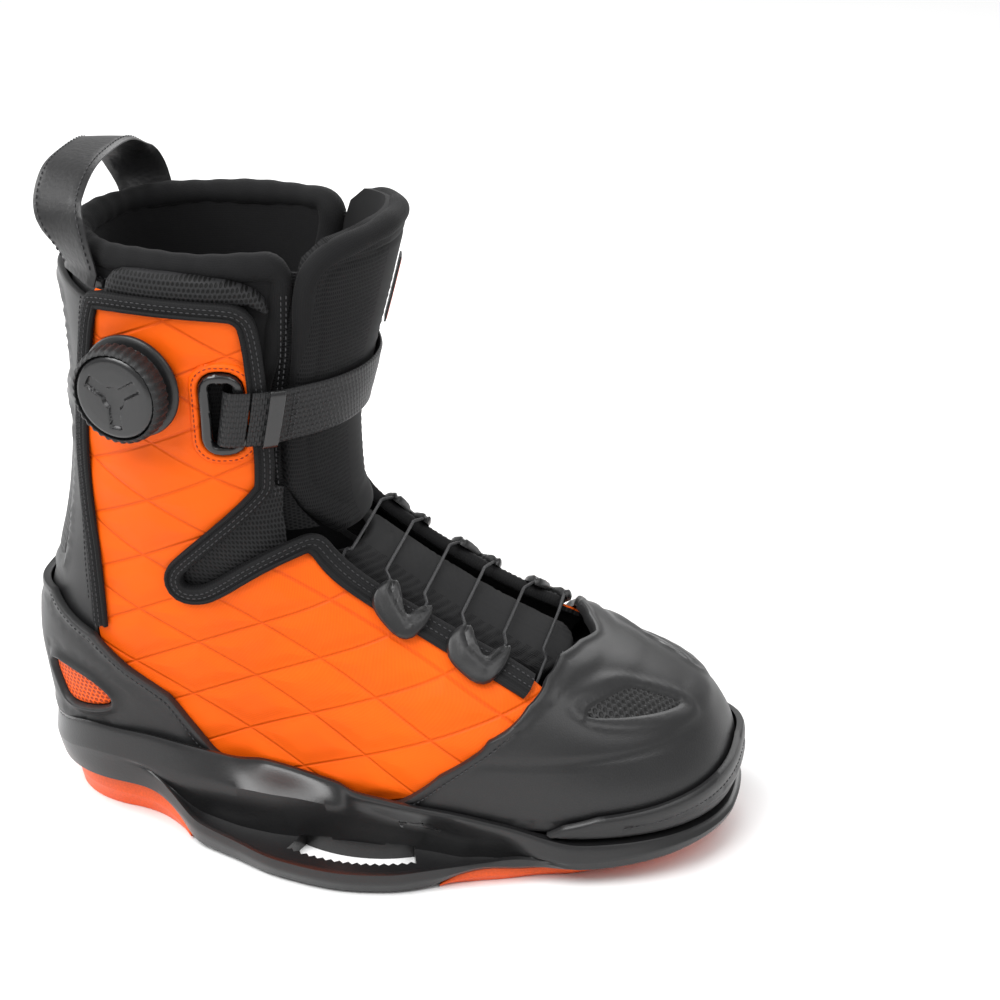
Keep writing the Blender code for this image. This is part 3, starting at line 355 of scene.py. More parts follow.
def loftMesh(name, rings, uvs=None, capped=True):
    count = len(rings[0])
    points = np.vstack(rings)
    faces = []
    for r in range(len(rings) - 1):
        for i in range(count):
            j = (i + 1) % count
            faces.append((r * count + i, r * count + j, (r + 1) * count + j, (r + 1) * count + i))
    if capped:
        faces.append(tuple(range(count))[::-1])
        faces.append(tuple((len(rings) - 1) * count + i for i in range(count)))
    return meshOf(name, points, faces, None if uvs is None else np.vstack(uvs))


def outwards(mesh):
    bm = bmesh.new()
    bm.from_mesh(mesh)
    bmesh.ops.remove_doubles(bm, verts=bm.verts, dist=1e-6)
    bmesh.ops.recalc_face_normals(bm, faces=bm.faces)
    bm.to_mesh(mesh)
    bm.free()
    return mesh


def stripMesh(name, outer, inner, profile):  # profile points are (share across, offset)
    rings, uvs = [], []
    length = 0.0
    for i in range(len(outer)):
        ring = []
        for share, offset in profile:
            u, z = outer[i] + (inner[i] - outer[i]) * share
            ring.append(lastSurface(u, z, offset))
        if i:
            length += np.linalg.norm(ring[0] - rings[-1][0])
        width = np.linalg.norm(ring[0] - ring[len(profile) // 2])
        uvs.append([(length, share * width) for share, _ in profile])
        rings.append(np.array(ring))
    return outwards(loftMesh(name, rings, uvs))


def tubeMesh(name, path, radius, sides=8):
    path = np.array(path, float)
    ahead = np.gradient(path, axis=0)
    ahead /= np.linalg.norm(ahead, axis=1, keepdims=True)
    side = np.cross(ahead[0], (0.3, 0.2, 1.0))
    rings, uvs, length = [], [], 0.0
    radii = np.broadcast_to(np.asarray(radius, float), len(path))
    for i, p in enumerate(path):
        side = side - side.dot(ahead[i]) * ahead[i]
        side /= np.linalg.norm(side)
        other = np.cross(ahead[i], side)
        turn = np.linspace(0, 2 * np.pi, sides, endpoint=False)
        rings.append(p + radii[i] * (np.cos(turn)[:, None] * side + np.sin(turn)[:, None] * other))
        if i:
            length += np.linalg.norm(p - path[i - 1])
        uvs.append(np.stack([np.full(sides, length), turn * radii[i]], 1))
    return outwards(loftMesh(name, rings, uvs))


def bandMesh(name, path, across, width, thickness, crown=0.0, round=0.5):
    rings, uvs, length = [], [], 0.0
    path = np.array(path, float)
    ahead = np.gradient(path, axis=0)
    ahead /= np.linalg.norm(ahead, axis=1, keepdims=True)
    shares = np.linspace(-1, 1, 11)
    for i, p in enumerate(path):
        wide = np.array(across[i], float)
        wide -= wide.dot(ahead[i]) * ahead[i]
        wide /= np.linalg.norm(wide)
        deep = np.cross(wide, ahead[i])
        half = width / 2
        edge = np.sqrt(np.clip(1 - np.clip((np.abs(shares) - (1 - round / half)) / (round / half), 0,
                                           1) ** 2, 0.05, 1))
        high = thickness / 2 * edge + crown * (1 - shares ** 2)
        upper = p + shares[:, None] * half * wide + high[:, None] * deep
        lower = p + shares[::-1, None] * half * wide - (thickness / 2 * edge[::-1])[:, None] * deep
        rings.append(np.vstack([upper, lower]))
        if i:
            length += np.linalg.norm(p - path[i - 1])
        v = np.concatenate([shares, shares[::-1]]) * half
        uvs.append(np.stack([np.full(len(v), length), v], 1))
    return outwards(loftMesh(name, rings, uvs))


def latheMesh(name, profile, centre, axis, steps=96, ripple=None):
    axis = np.array(axis, float) / np.linalg.norm(axis)
    side = np.cross(axis, (0, 0, 1.0))
    side /= np.linalg.norm(side)
    up = np.cross(side, axis)
    rings = []
    for turn in np.linspace(0, 2 * np.pi, steps, endpoint=False):
        ring = []
        for k, (r, h) in enumerate(profile):
            r = r + (ripple(turn, k) if ripple else 0)
            ring.append(np.array(centre) + r * (math.cos(turn) * side + math.sin(turn) * up) + h * axis)
        rings.append(np.array(ring))
    count = len(profile)
    points = np.vstack(rings)
    faces = []
    for s in range(steps):
        t = (s + 1) % steps
        for i in range(count - 1):
            faces.append((s * count + i, t * count + i, t * count + i + 1, s * count + i + 1))
    return outwards(meshOf(name, points, faces))

# Camera, floor and lights

camera = {"place": (0.251, -0.954, 0.604), "azimuth": 11.69, "elevation": 24.72, "lens": 88.2}
lights = [  # place, aims at, width, height, watts
    ((-0.55, -0.75, 1.15), (0.0, 0.0, 0.12), 0.9, 0.7, 8.0),
    ((0.75, -0.55, 1.00), (0.02, 0.0, 0.10), 0.7, 0.7, 5.0),
    ((0.15, 0.95, 0.90), (0.0, 0.0, 0.15), 1.1, 0.6, 8.0),
    ((-0.95, 0.25, 0.55), (-0.05, 0.0, 0.15), 0.5, 0.9, 5.0),
]
sun = {"aim": (0.35, 0.45, -1.0), "angle": 45.0, "energy": 2.1}


def addStage():
    data = bpy.data.cameras.new("camera")
    data.lens = camera["lens"]
    data.sensor_width = 36
    data.clip_start, data.clip_end = 0.01, 50
    eye = bpy.data.objects.new("camera", data)
    bpy.context.scene.collection.objects.link(eye)
    a, e = math.radians(camera["azimuth"]), math.radians(camera["elevation"])
    back = Vector((math.sin(a) * math.cos(e), -math.cos(a) * math.cos(e), math.sin(e)))
    eye.location = camera["place"]
    eye.rotation_mode = "QUATERNION"
    eye.rotation_quaternion = back.to_track_quat("Z", "Y")
    bpy.context.scene.camera = eye
    for n, (place, aim, width, height, watts) in enumerate(lights):
        lamp = bpy.data.lights.new(f"softbox{n + 1}", "AREA")
        lamp.shape = "RECTANGLE"
        lamp.size, lamp.size_y, lamp.energy = width, height, watts
        obj = bpy.data.objects.new(f"softbox{n + 1}", lamp)
        bpy.context.scene.collection.objects.link(obj)
        obj.location = place
        obj.rotation_mode = "QUATERNION"
        obj.rotation_quaternion = (Vector(place) - Vector(aim)).to_track_quat("Z", "Y")
    lamp = bpy.data.lights.new("sun", "SUN")
    lamp.energy, lamp.angle = sun["energy"], math.radians(sun["angle"])
    obj = bpy.data.objects.new("sun", lamp)
    bpy.context.scene.collection.objects.link(obj)
    obj.rotation_mode = "QUATERNION"
    obj.rotation_quaternion = Vector(sun["aim"]).to_track_quat("-Z", "Y")
    world = bpy.data.worlds.new("studio")
    world.use_nodes = True
    world.node_tree.nodes["Background"].inputs["Color"].default_value = (1, 1, 1, 1)
    world.node_tree.nodes["Background"].inputs["Strength"].default_value = 0.5
    bpy.context.scene.world = world
    bpy.context.scene.view_settings.view_transform = "Standard"
    floor = bpy.data.meshes.new("floor")
    floor.from_pydata([(-6, -4, 0), (6, -4, 0), (6, 8, 0), (-6, 8, 0)], [], [(0, 1, 2, 3)])
    floor.materials.append(plainMaterial("floorPaper", (0.86, 0.86, 0.86), 0.8))
    stage = bpy.data.objects.new("floor", floor)
    bpy.context.scene.collection.objects.link(stage)


# Materials

def plainMaterial(name, colour, roughness):
    material = bpy.data.materials.new(name)
    material.use_nodes = True
    shader = material.node_tree.nodes["Principled BSDF"]
    shader.inputs["Base Color"].default_value = (*colour, 1)
    shader.inputs["Roughness"].default_value = roughness
    return material


class Nodes:  # short hand for adding and linking shader nodes
    def __init__(self, tree):
        self.tree = tree

    def add(self, kind, inputs=None, **settings):
        node = self.tree.nodes.new(kind)
        for key, value in settings.items():
            setattr(node, key, value)
        for key, value in (inputs or {}).items():
            if isinstance(value, bpy.types.NodeSocket):
                self.tree.links.new(value, node.inputs[key])
            else:
                node.inputs[key].default_value = value
        return node

    def math(self, operation, a, b=None, clamp=False):
        inputs = {0: a} if b is None else {0: a, 1: b}
        return self.add("ShaderNodeMath", inputs, operation=operation, use_clamp=clamp).outputs[0]

    def vector(self, operation, a, b=None):
        inputs = {0: a} if b is None else {0: a, 1: b}
        node = self.add("ShaderNodeVectorMath", inputs, operation=operation)
        return node.outputs["Value"] if operation in ("LENGTH", "DOT_PRODUCT") else node.outputs["Vector"]

    def ramp(self, value, low, high, start=0.0, end=1.0):
        node = self.add("ShaderNodeMapRange", {"Value": value, "From Min": low, "From Max": high,
                                               "To Min": start, "To Max": end},
                        interpolation_type="SMOOTHSTEP")
        return node.outputs["Result"]


def newGroup(name, inputs, outputs):
    tree = bpy.data.node_groups.new(name, "ShaderNodeTree")
    for key, kind, value in inputs:
        socket = tree.interface.new_socket(key, in_out="INPUT", socket_type=kind)
        socket.default_value = value
    for key, kind in outputs:
        tree.interface.new_socket(key, in_out="OUTPUT", socket_type=kind)
    return tree, Nodes(tree), tree.nodes.new("NodeGroupInput"), tree.nodes.new("NodeGroupOutput")


def grainGroup():  # fine moulded grain with soft large patches
    tree, n, source, result = newGroup("mouldedGrain", [("Scale", "NodeSocketFloat", 1.0)],
                                       [("Height", "NodeSocketFloat"), ("Patches", "NodeSocketFloat")])
    place = n.add("ShaderNodeTexCoord").outputs["Object"]
    fine = n.add("ShaderNodeTexNoise", {"Vector": place,
                                        "Scale": n.math("MULTIPLY", source.outputs["Scale"], 1700.0),
                                        "Detail": 2.0})
    cells = n.add("ShaderNodeTexVoronoi", {"Vector": place,
                                           "Scale": n.math("MULTIPLY", source.outputs["Scale"], 900.0)})
    big = n.add("ShaderNodeTexNoise", {"Vector": place, "Scale": 22.0, "Detail": 3.0})
    both = n.math("ADD", n.math("MULTIPLY", fine.outputs["Fac"], 0.6),
                  n.math("MULTIPLY", cells.outputs["Distance"], 0.5))
    tree.links.new(both, result.inputs["Height"])
    tree.links.new(big.outputs["Fac"], result.inputs["Patches"])
    return tree


def weaveGroup():  # over and under threads on the piece's own surface map
    tree, n, source, result = newGroup(
        "wovenThreads", [("Threads", "NodeSocketFloat", 1600.0), ("Stretch", "NodeSocketFloat", 1.0),
                         ("Turn", "NodeSocketFloat", 0.0)],
        [("Height", "NodeSocketFloat"), ("Over", "NodeSocketFloat")])
    place = n.add("ShaderNodeUVMap", uv_map="surface").outputs["UV"]
    turned = n.add("ShaderNodeVectorRotate", {"Vector": place, "Angle": source.outputs["Turn"]},
                   rotation_type="Z_AXIS").outputs["Vector"]
    parts = n.add("ShaderNodeSeparateXYZ", {0: turned})
    x = n.math("MULTIPLY", parts.outputs["X"], source.outputs["Threads"])
    y = n.math("MULTIPLY", n.math("MULTIPLY", parts.outputs["Y"], source.outputs["Threads"]),
               source.outputs["Stretch"])
    sx = n.math("ABSOLUTE", n.math("SINE", n.math("MULTIPLY", x, math.pi)))
    sy = n.math("ABSOLUTE", n.math("SINE", n.math("MULTIPLY", y, math.pi)))
    over = n.math("MODULO", n.math("ADD", n.math("FLOOR", x), n.math("FLOOR", y)), 2.0)
    over = n.math("ABSOLUTE", over)
    height = n.math("ADD", n.math("MULTIPLY", sx, over),
                    n.math("MULTIPLY", sy, n.math("SUBTRACT", 1.0, over)))
    tree.links.new(height, result.inputs["Height"])
    tree.links.new(over, result.inputs["Over"])
    return tree


def holesGroup():  # holes on a honeycomb grid, on the piece's own surface map
    tree, n, source, result = newGroup(
        "openMesh", [("Pitch", "NodeSocketFloat", 0.002), ("Stretch", "NodeSocketFloat", 1.0)],
        [("Height", "NodeSocketFloat"), ("Hole", "NodeSocketFloat")])
    place = n.add("ShaderNodeUVMap", uv_map="surface").outputs["UV"]
    parts = n.add("ShaderNodeSeparateXYZ", {0: place})
    flat = n.add("ShaderNodeCombineXYZ", {0: n.math("DIVIDE", parts.outputs["X"], source.outputs["Pitch"]),
                                          1: n.math("DIVIDE", n.math("MULTIPLY", parts.outputs["Y"],
                                                                     source.outputs["Stretch"]),
                                                    source.outputs["Pitch"])}).outputs[0]
    far = n.vector("ADD", flat, (200.0, 200.0 * 1.7320508, 0.0))
    step, half = (1.0, 1.7320508, 1.0), (0.5, 0.8660254, 0.0)
    one = n.vector("SUBTRACT", n.vector("MODULO", far, step), half)
    two = n.vector("SUBTRACT", n.vector("MODULO", n.vector("ADD", far, half), step), half)
    near = n.math("MINIMUM", n.vector("LENGTH", one), n.vector("LENGTH", two))
    tree.links.new(n.ramp(near, 0.22, 0.42), result.inputs["Height"])
    tree.links.new(n.ramp(near, 0.36, 0.24), result.inputs["Hole"])
    return tree


def quiltGroup():  # distance to the nearest line of the embossed diamonds, in side view
    tree, n, source, result = newGroup(
        "embossedDiamonds", [("Width", "NodeSocketFloat", 0.0012)],
        [("Line", "NodeSocketFloat"), ("Pillow", "NodeSocketFloat")])
    place = n.add("ShaderNodeTexCoord").outputs["Object"]
    parts = n.add("ShaderNodeSeparateXYZ", {0: place})
    gaps = []
    for rise, pitch, start in quilt["families"]:
        a = math.radians(rise)
        across = n.math("ADD", n.math("MULTIPLY", parts.outputs["X"], -math.sin(a)),
                        n.math("MULTIPLY", parts.outputs["Z"], math.cos(a)))
        cycle = n.math("DIVIDE", n.math("ADD", across, start / 1000), pitch / 1000)
        gaps.append(n.math("MULTIPLY", n.math("PINGPONG", cycle, 0.5), pitch / 1000))
    near = n.math("MINIMUM", gaps[0], gaps[1])
    tree.links.new(n.ramp(near, 0.0, source.outputs["Width"], 1.0, 0.0), result.inputs["Line"])
    tree.links.new(n.ramp(near, 0.0, 0.009), result.inputs["Pillow"])
    return tree


quilt = {"families": [(24.0, 24.0, 4.0), (-30.0, 27.0, 9.0)], "puff": 0.8}
groups = {}


surfaces = {  # dark colour (painted shade in the low parts of the relief, and the darker random tone), light colour, roughness, pattern, its settings, millimetres deep, other settings
    "chassisPlastic": ((0.0075, 0.0075, 0.008), (0.012, 0.012, 0.0125), 0.34,
                       "grain", {"Scale": 1.0}, 0.05, {"coat": 0.25}),
    "mouldedRubber": ((0.008, 0.008, 0.0085), (0.014, 0.014, 0.0145), 0.44,
                      "grain", {"Scale": 1.4}, 0.06, {"coat": 0.1}),
    "roughRubber": ((0.006, 0.006, 0.0065), (0.016, 0.016, 0.0165), 0.6, "grain", {"Scale": 0.6}, 0.25, {}),
    "glossTrim": ((0.006, 0.006, 0.0065), (0.011, 0.011, 0.0115), 0.26,
                  "grain", {"Scale": 0.5}, 0.04, {"coat": 0.4}),
    "orangeFoam": ((0.58, 0.055, 0.0), (0.86, 0.1, 0.001), 0.45,
                   "grain", {"Scale": 1.0}, 0.08, {"coat": 0.15}),
    "orangeMesh": ((0.3, 0.026, 0.0), (0.86, 0.1, 0.001), 0.5, "mesh", {"Pitch": 0.0024}, 0.45, {}),
    "tape": ((0.0035, 0.0035, 0.004), (0.011, 0.011, 0.0115), 0.72,
             "weave", {"Threads": 1500.0, "Stretch": 0.6}, 0.12, {"specular": 0.2}),
    "webbing": ((0.005, 0.005, 0.0055), (0.018, 0.018, 0.019), 0.5,
                "weave", {"Threads": 900.0, "Stretch": 0.45}, 0.25, {"specular": 0.3}),
    "coarseMesh": ((0.001, 0.001, 0.001), (0.017, 0.017, 0.018), 0.62,
                   "mesh", {"Pitch": 0.0026}, 0.35, {"specular": 0.25}),
    "ventMesh": ((0.0005, 0.0005, 0.0005), (0.014, 0.014, 0.0145), 0.45,
                 "mesh", {"Pitch": 0.0027}, 0.6, {"specular": 0.4}),
    "padMesh": ((0.0008, 0.0008, 0.0008), (0.013, 0.013, 0.0135), 0.5,
                "mesh", {"Pitch": 0.0042}, 0.7, {"specular": 0.35}),
    "fineKnit": ((0.0035, 0.0035, 0.004), (0.013, 0.013, 0.0135), 0.75,
                 "mesh", {"Pitch": 0.0014, "Stretch": 0.6}, 0.2, {"sheen": 0.02, "specular": 0.15}),
    "neoprene": ((0.005, 0.005, 0.0055), (0.011, 0.011, 0.0115), 0.8,
                 "weave", {"Threads": 1900.0, "Stretch": 0.5}, 0.08, {"sheen": 0.04, "specular": 0.15}),
    "footbedCloth": ((0.02, 0.02, 0.02), (0.06, 0.06, 0.062), 0.85,
                     "grain", {"Scale": 0.8}, 0.1, {"specular": 0.2}),
    "board": ((0.12, 0.09, 0.06), (0.22, 0.17, 0.12), 0.8, "grain", {"Scale": 0.4}, 0.1, {}),
    "cord": ((0.008, 0.008, 0.0085), (0.035, 0.035, 0.037), 0.45,
             "weave", {"Threads": 2600.0, "Turn": 0.78}, 0.06, {}),
    "thread": ((0.02, 0.02, 0.021), (0.05, 0.05, 0.053), 0.5,
               "grain", {"Scale": 2.0}, 0.03, {"specular": 0.3}),
    "redThread": ((0.12, 0.004, 0.001), (0.3, 0.012, 0.002), 0.5, "grain", {"Scale": 2.0}, 0.03, {}),
    "leather": ((0.006, 0.006, 0.0065), (0.013, 0.013, 0.0135), 0.42,
                "grain", {"Scale": 0.45}, 0.22, {"coat": 0.1}),
    "steel": ((0.45, 0.45, 0.46), (0.62, 0.62, 0.63), 0.3,
              "grain", {"Scale": 1.0}, 0.01, {"metallic": 1.0}),
}


def surfaceMaterial(name, shadeAndToneDark, light, roughness, pattern, settings, depth, others):
    material = bpy.data.materials.new(name)
    material.use_nodes = True
    n = Nodes(material.node_tree)
    shader = material.node_tree.nodes["Principled BSDF"]
    material.diffuse_color = (*light, 1)
    relief = n.add("ShaderNodeGroup", settings, node_tree=groups[pattern]).outputs["Height"]
    height = n.math("MULTIPLY", relief, depth / 1000)
    grain = n.add("ShaderNodeGroup", node_tree=groups["grain"])
    patches = n.ramp(grain.outputs["Patches"], 0.3, 0.7, -0.18, 0.18)
    # colour follows the relief: its low parts (the gaps between threads, the mesh holes and the grain pits)
    # get the dark colour as painted shade; the patches add random tone
    share = n.math("ADD", relief, patches, clamp=True)
    colour = n.add("ShaderNodeMix", {"Factor": share}, data_type="RGBA")
    colour.inputs[6].default_value, colour.inputs[7].default_value = (*shadeAndToneDark, 1), (*light, 1)
    material.node_tree.links.new(colour.outputs[2], shader.inputs["Base Color"])
    rough = n.math("ADD", n.ramp(grain.outputs["Patches"], 0.25, 0.75, -0.06, 0.06), roughness)
    material.node_tree.links.new(rough, shader.inputs["Roughness"])
    bump = n.add("ShaderNodeBump", {"Height": height, "Distance": 1.0, "Strength": 1.0})
    material.node_tree.links.new(bump.outputs["Normal"], shader.inputs["Normal"])
    shader.inputs["Metallic"].default_value = others.get("metallic", 0.0)
    shader.inputs["Specular IOR Level"].default_value = others.get("specular", 0.4)
    shader.inputs["Sheen Weight"].default_value = others.get("sheen", 0.0)
    shader.inputs["Sheen Roughness"].default_value = 0.4
    shader.inputs["Coat Weight"].default_value = others.get("coat", 0.0)
    shader.inputs["Coat Roughness"].default_value = 0.25
    return material


def makeMaterials():
    groups.update(grain=grainGroup(), weave=weaveGroup(), mesh=holesGroup(), quilt=quiltGroup())
    made = {name: surfaceMaterial(name, *row) for name, row in surfaces.items()}
    made["orangeCloth"] = orangeClothMaterial()
    return made


def orangeClothMaterial():
    material = bpy.data.materials.new("orangeCloth")
    material.use_nodes = True
    n = Nodes(material.node_tree)
    links = material.node_tree.links
    shader = material.node_tree.nodes["Principled BSDF"]
    weave = n.add("ShaderNodeGroup", {"Threads": 1700.0, "Stretch": 0.7, "Turn": 0.6},
                  node_tree=groups["weave"])
    lines = n.add("ShaderNodeGroup", {"Width": 0.0011}, node_tree=groups["quilt"])
    grain = n.add("ShaderNodeGroup", node_tree=groups["grain"])
    height = n.math("SUBTRACT", n.math("MULTIPLY", weave.outputs["Height"], 0.00004),
                    n.math("MULTIPLY", lines.outputs["Line"], 0.00045))
    height = n.math("ADD", height, n.math("MULTIPLY", lines.outputs["Pillow"], 0.0004))
    bump = n.add("ShaderNodeBump", {"Height": height, "Distance": 1.0})
    # colour mix: painted shade in the gaps between threads, with random tone from the patches
    paintedShadeAndTone = n.math("ADD", n.math("MULTIPLY", weave.outputs["Height"], 0.35),
                   n.ramp(grain.outputs["Patches"], 0.3, 0.7, 0.4, 0.6))
    # painted shadow along the embossed quilting lines
    paintedShadeAndTone = n.math("SUBTRACT", paintedShadeAndTone, n.math("MULTIPLY", lines.outputs["Line"], 0.35), clamp=True)
    colour = n.add("ShaderNodeMix", data_type="RGBA", inputs={"Factor": paintedShadeAndTone})
    colour.inputs[6].default_value = (0.6, 0.055, 0.0, 1)
    colour.inputs[7].default_value = (0.92, 0.125, 0.0, 1)
    links.new(colour.outputs[2], shader.inputs["Base Color"])
    links.new(n.ramp(grain.outputs["Patches"], 0.25, 0.75, 0.5, 0.64), shader.inputs["Roughness"])
    links.new(bump.outputs["Normal"], shader.inputs["Normal"])
    shader.inputs["Specular IOR Level"].default_value = 0.2
    material.diffuse_color = (1.0, 0.12, 0.0, 1)
    return material


materials = makeMaterials()
addStage()
print("materials, camera and lights ready")

# Stitches: a row of small thread beads along each line

stitch = {"gap": 2.6, "length": 1.9, "thickness": 0.55}


def stitchTree():
    tree = bpy.data.node_groups.new("stitchRow", "GeometryNodeTree")
    tree.interface.new_socket("Lines", in_out="INPUT", socket_type="NodeSocketGeometry")
    for key, value in (("Gap", 0.0026), ("Length", 0.0019), ("Thickness", 0.00055)):
        socket = tree.interface.new_socket(key, in_out="INPUT", socket_type="NodeSocketFloat")
        socket.default_value = value
    tree.interface.new_socket("Thread", in_out="INPUT", socket_type="NodeSocketMaterial")
    tree.interface.new_socket("Stitches", in_out="OUTPUT", socket_type="NodeSocketGeometry")
    n = Nodes(tree)
    source, result = tree.nodes.new("NodeGroupInput"), tree.nodes.new("NodeGroupOutput")
    curve = n.add("GeometryNodeMeshToCurve", {"Mesh": source.outputs["Lines"]})
    steps = n.add("GeometryNodeResampleCurve", {"Curve": curve.outputs["Curve"]})
    steps.mode = "LENGTH"
    tree.links.new(source.outputs["Gap"], steps.inputs["Length"])
    tangent = n.add("GeometryNodeInputTangent")
    turn = n.add("FunctionNodeAlignRotationToVector", {"Vector": tangent.outputs["Tangent"]}, axis="X")
    bead = n.add("GeometryNodeMeshUVSphere", {"Segments": 6, "Rings": 4, "Radius": 0.5})
    size = n.add("ShaderNodeCombineXYZ", {0: source.outputs["Length"], 1: source.outputs["Thickness"],
                                          2: source.outputs["Thickness"]})
    place = n.add("GeometryNodeInstanceOnPoints",
                  {"Points": steps.outputs["Curve"], "Instance": bead.outputs["Mesh"],
                                                   "Rotation": turn.outputs["Rotation"],
                   "Scale": size.outputs[0]})
    real = n.add("GeometryNodeRealizeInstances", {0: place.outputs["Instances"]})
    dyed = n.add("GeometryNodeSetMaterial", {"Geometry": real.outputs[0],
                                             "Material": source.outputs["Thread"]})
    tree.links.new(dyed.outputs["Geometry"], result.inputs["Stitches"])
    return tree


stitchNodes = stitchTree()


def addStitches(name, lines, body, material="thread", gap=None, length=None, thickness=None):
    points, edges = [], []
    for line in lines:
        first = len(points)
        points += [tuple(np.array(p) / 1000) for p in line]
        edges += [(first + i, first + i + 1) for i in range(len(line) - 1)]
    mesh = bpy.data.meshes.new(name + "Lines")
    mesh.from_pydata(points, edges, [])
    holder = bpy.data.objects.new(name + "Lines", mesh)
    bpy.context.scene.collection.objects.link(holder)
    rows = holder.modifiers.new("stitches", "NODES")
    rows.node_group = stitchNodes
    values = {"Gap": (gap or stitch["gap"]) / 1000, "Length": (length or stitch["length"]) / 1000,
              "Thickness": (thickness or stitch["thickness"]) / 1000, "Thread": materials[material]}
    for item in stitchNodes.interface.items_tree:
        if item.in_out == "INPUT" and item.name in values:
            rows[item.identifier] = values[item.name]
    graph = bpy.context.evaluated_depsgraph_get()
    result = bpy.data.meshes.new_from_object(holder.evaluated_get(graph))
    bpy.data.objects.remove(holder)
    result.name = name
    return finish(name, result, materials[material], body, smoothAngle=180)


def oblong(x, z, width, height, radius, turns=5):
    points = []
    for cx, cz, start in ((1, 1, 0), (-1, 1, 90), (-1, -1, 180), (1, -1, 270)):
        for turn in np.linspace(0, 90, turns):
            a = math.radians(start + turn)
            points.append((x + cx * (width / 2 - radius) + radius * math.cos(a),
                           z + cz * (height / 2 - radius) + radius * math.sin(a)))
    return points


def rimRound(rim, radius, depth=None):  # how far a rounded edge drops near the rim
    t = 1 - np.clip(rim / radius, 0, 1)
    return -(depth or radius) * (1 - np.sqrt(np.clip(1 - t * t, 0, 1)))


# Quarters and their binding

rearEdge = {
    outerSide: [(-56, 21.5), (-98, 34), (-118, 60), (-121, 96), (-121, 130), (-123, 157), (-123, 190),
                (-117, 230), (-112, 254)],
    innerSide: [(-56, 21.5), (-88, 34), (-99, 60), (-100, 100), (-102, 150), (-103, 190), (-93, 225),
                (-86, 254)]}
frontEdge = [(-50, 260), (-41, 257), (-37, 249), (-36, 215), (-36, 178), (-38, 169), (-74, 135),
             (-79, 129), (-78, 123), (-73, 122), (-66, 124), (-46, 139), (-26, 148), (-19, 147),
             (-11, 136), (7, 123.5), (24, 114), (43, 104), (60, 96), (77, 87.5)]
underToeCap = [(84, 83), (80, 75), (68, 61), (48, 44), (29, 32), (12, 26), (8, 21.5)]
notch = [(-84, 128), (-80, 117), (-68, 118), (-44, 132), (-30, 141), (-31, 152), (-31, 170), (-42, 175),
         (-66, 151), (-82, 136)]
ringPlace = {"x": -53, "z": 210, "width": 18, "height": 38, "bar": 4.2}
dialPlace = {"u": -0.403, "z": 221.0}
binding = {"width": 6.5}


def quiltGap(x, z):
    gaps = []
    for rise, pitch, start in quilt["families"]:
        a = math.radians(rise)
        cycle = (-x * math.sin(a) + z * math.cos(a) + start) / pitch
        gaps.append(np.abs(np.mod(cycle + 0.5, 1) - 0.5) * pitch)
    return np.minimum(*gaps)


def quarterRelief(x, z, u, rim):
    return quilt["puff"] * ease(0, 8, quiltGap(x, z)) * ease(2, 9, rim) + rimRound(rim, 1.4, 1.0)


def dialHole(radius, count=40):
    centre = lastPoint(dialPlace["u"], dialPlace["z"])
    a = np.linspace(0, 2 * np.pi, count, endpoint=False)
    return onSide(outerSide, np.stack([centre[0] + radius * np.cos(a),
                                       dialPlace["z"] + radius * np.sin(a)], 1))


def addQuarters():
    for side, word in sideNames.items():
        corner = (rearEdge[side][-1][0] + 5, 260)
        outline = onSide(side, rearEdge[side] + [corner] + frontEdge + underToeCap)
        holes = []
        if side == outerSide:
            r = ringPlace
            holes = [onSide(side, oblong(r["x"], r["z"], r["width"] + 1.4, r["height"] + 1.4, 8)),
                     dialHole(19.0)]
        mesh = panelMesh(f"quarter_{word}_cloth", outline, 0.0, 3.0, 2.8, quarterRelief, holes)
        finish(f"quarter_{word}_cloth", mesh, materials["orangeCloth"], "boot", [f"quarter_{word}"], 0.5,
               lining=materials["fineKnit"])
        addBinding(side, word, corner)


def addBinding(side, word, corner):
    rear = [p for p in rearEdge[side] if p[1] > 97]
    start = [(rear[0][0], 98.5 if side == outerSide else 101)]
    path = start + rear[0 if side == outerSide else 1:] + [corner] + frontEdge[:-1] + [(76, 88.2)]
    path = spaced(softened(path, 2), 1.8)
    ahead = np.gradient(path, axis=0)
    for _ in range(3):
        ahead[1:-1] = (ahead[:-2] + ahead[1:-1] + ahead[2:]) / 3
    ahead /= np.linalg.norm(ahead, axis=1, keepdims=True)
    inwards = np.stack([ahead[:, 1], -ahead[:, 0]], 1)
    inner = path + binding["width"] * inwards
    profile = [(-0.10, -2.6), (-0.16, -1.0), (-0.15, 1.0), (-0.08, 2.3), (0.03, 2.85), (0.3, 3.0),
               (0.58, 2.85),
               (0.66, 2.45), (0.71, 2.5), (0.76, 3.05), (0.84, 3.35), (0.92, 3.2), (1.0, 2.5), (1.0, 1.25),
               (0.5, 1.25), (0.02, 1.25), (-0.03, 0.6), (-0.03, -2.6)]
    mesh = stripMesh(f"binding_{word}_tape", onSide(side, path), onSide(side, inner), profile)
    finish(f"binding_{word}_tape", mesh, materials["tape"], "boot", [f"binding_{word}"])
    lines = []
    for share in (0.17, 0.47):
        line = path + share * binding["width"] * inwards
        uz = onSide(side, line)
        lines.append(lastSurface(uz[:, 0], uz[:, 1], 3.0))
    addStitches(f"binding_{word}_stitches", lines, "boot")


def addGussets():
    for side, word in sideNames.items():
        outline = onSide(side, notch)
        mesh = panelMesh(f"ankle_gusset_{word}_mesh", outline, -3.8, 1.8, 2.2,
                         lambda x, z, u, rim: 0.9 * ease(0, 10, rim))
        finish(f"ankle_gusset_{word}_mesh", mesh, materials["coarseMesh"], "boot", [f"ankle_gusset_{word}"])


# Toe cap, bumper, heel cup and spine

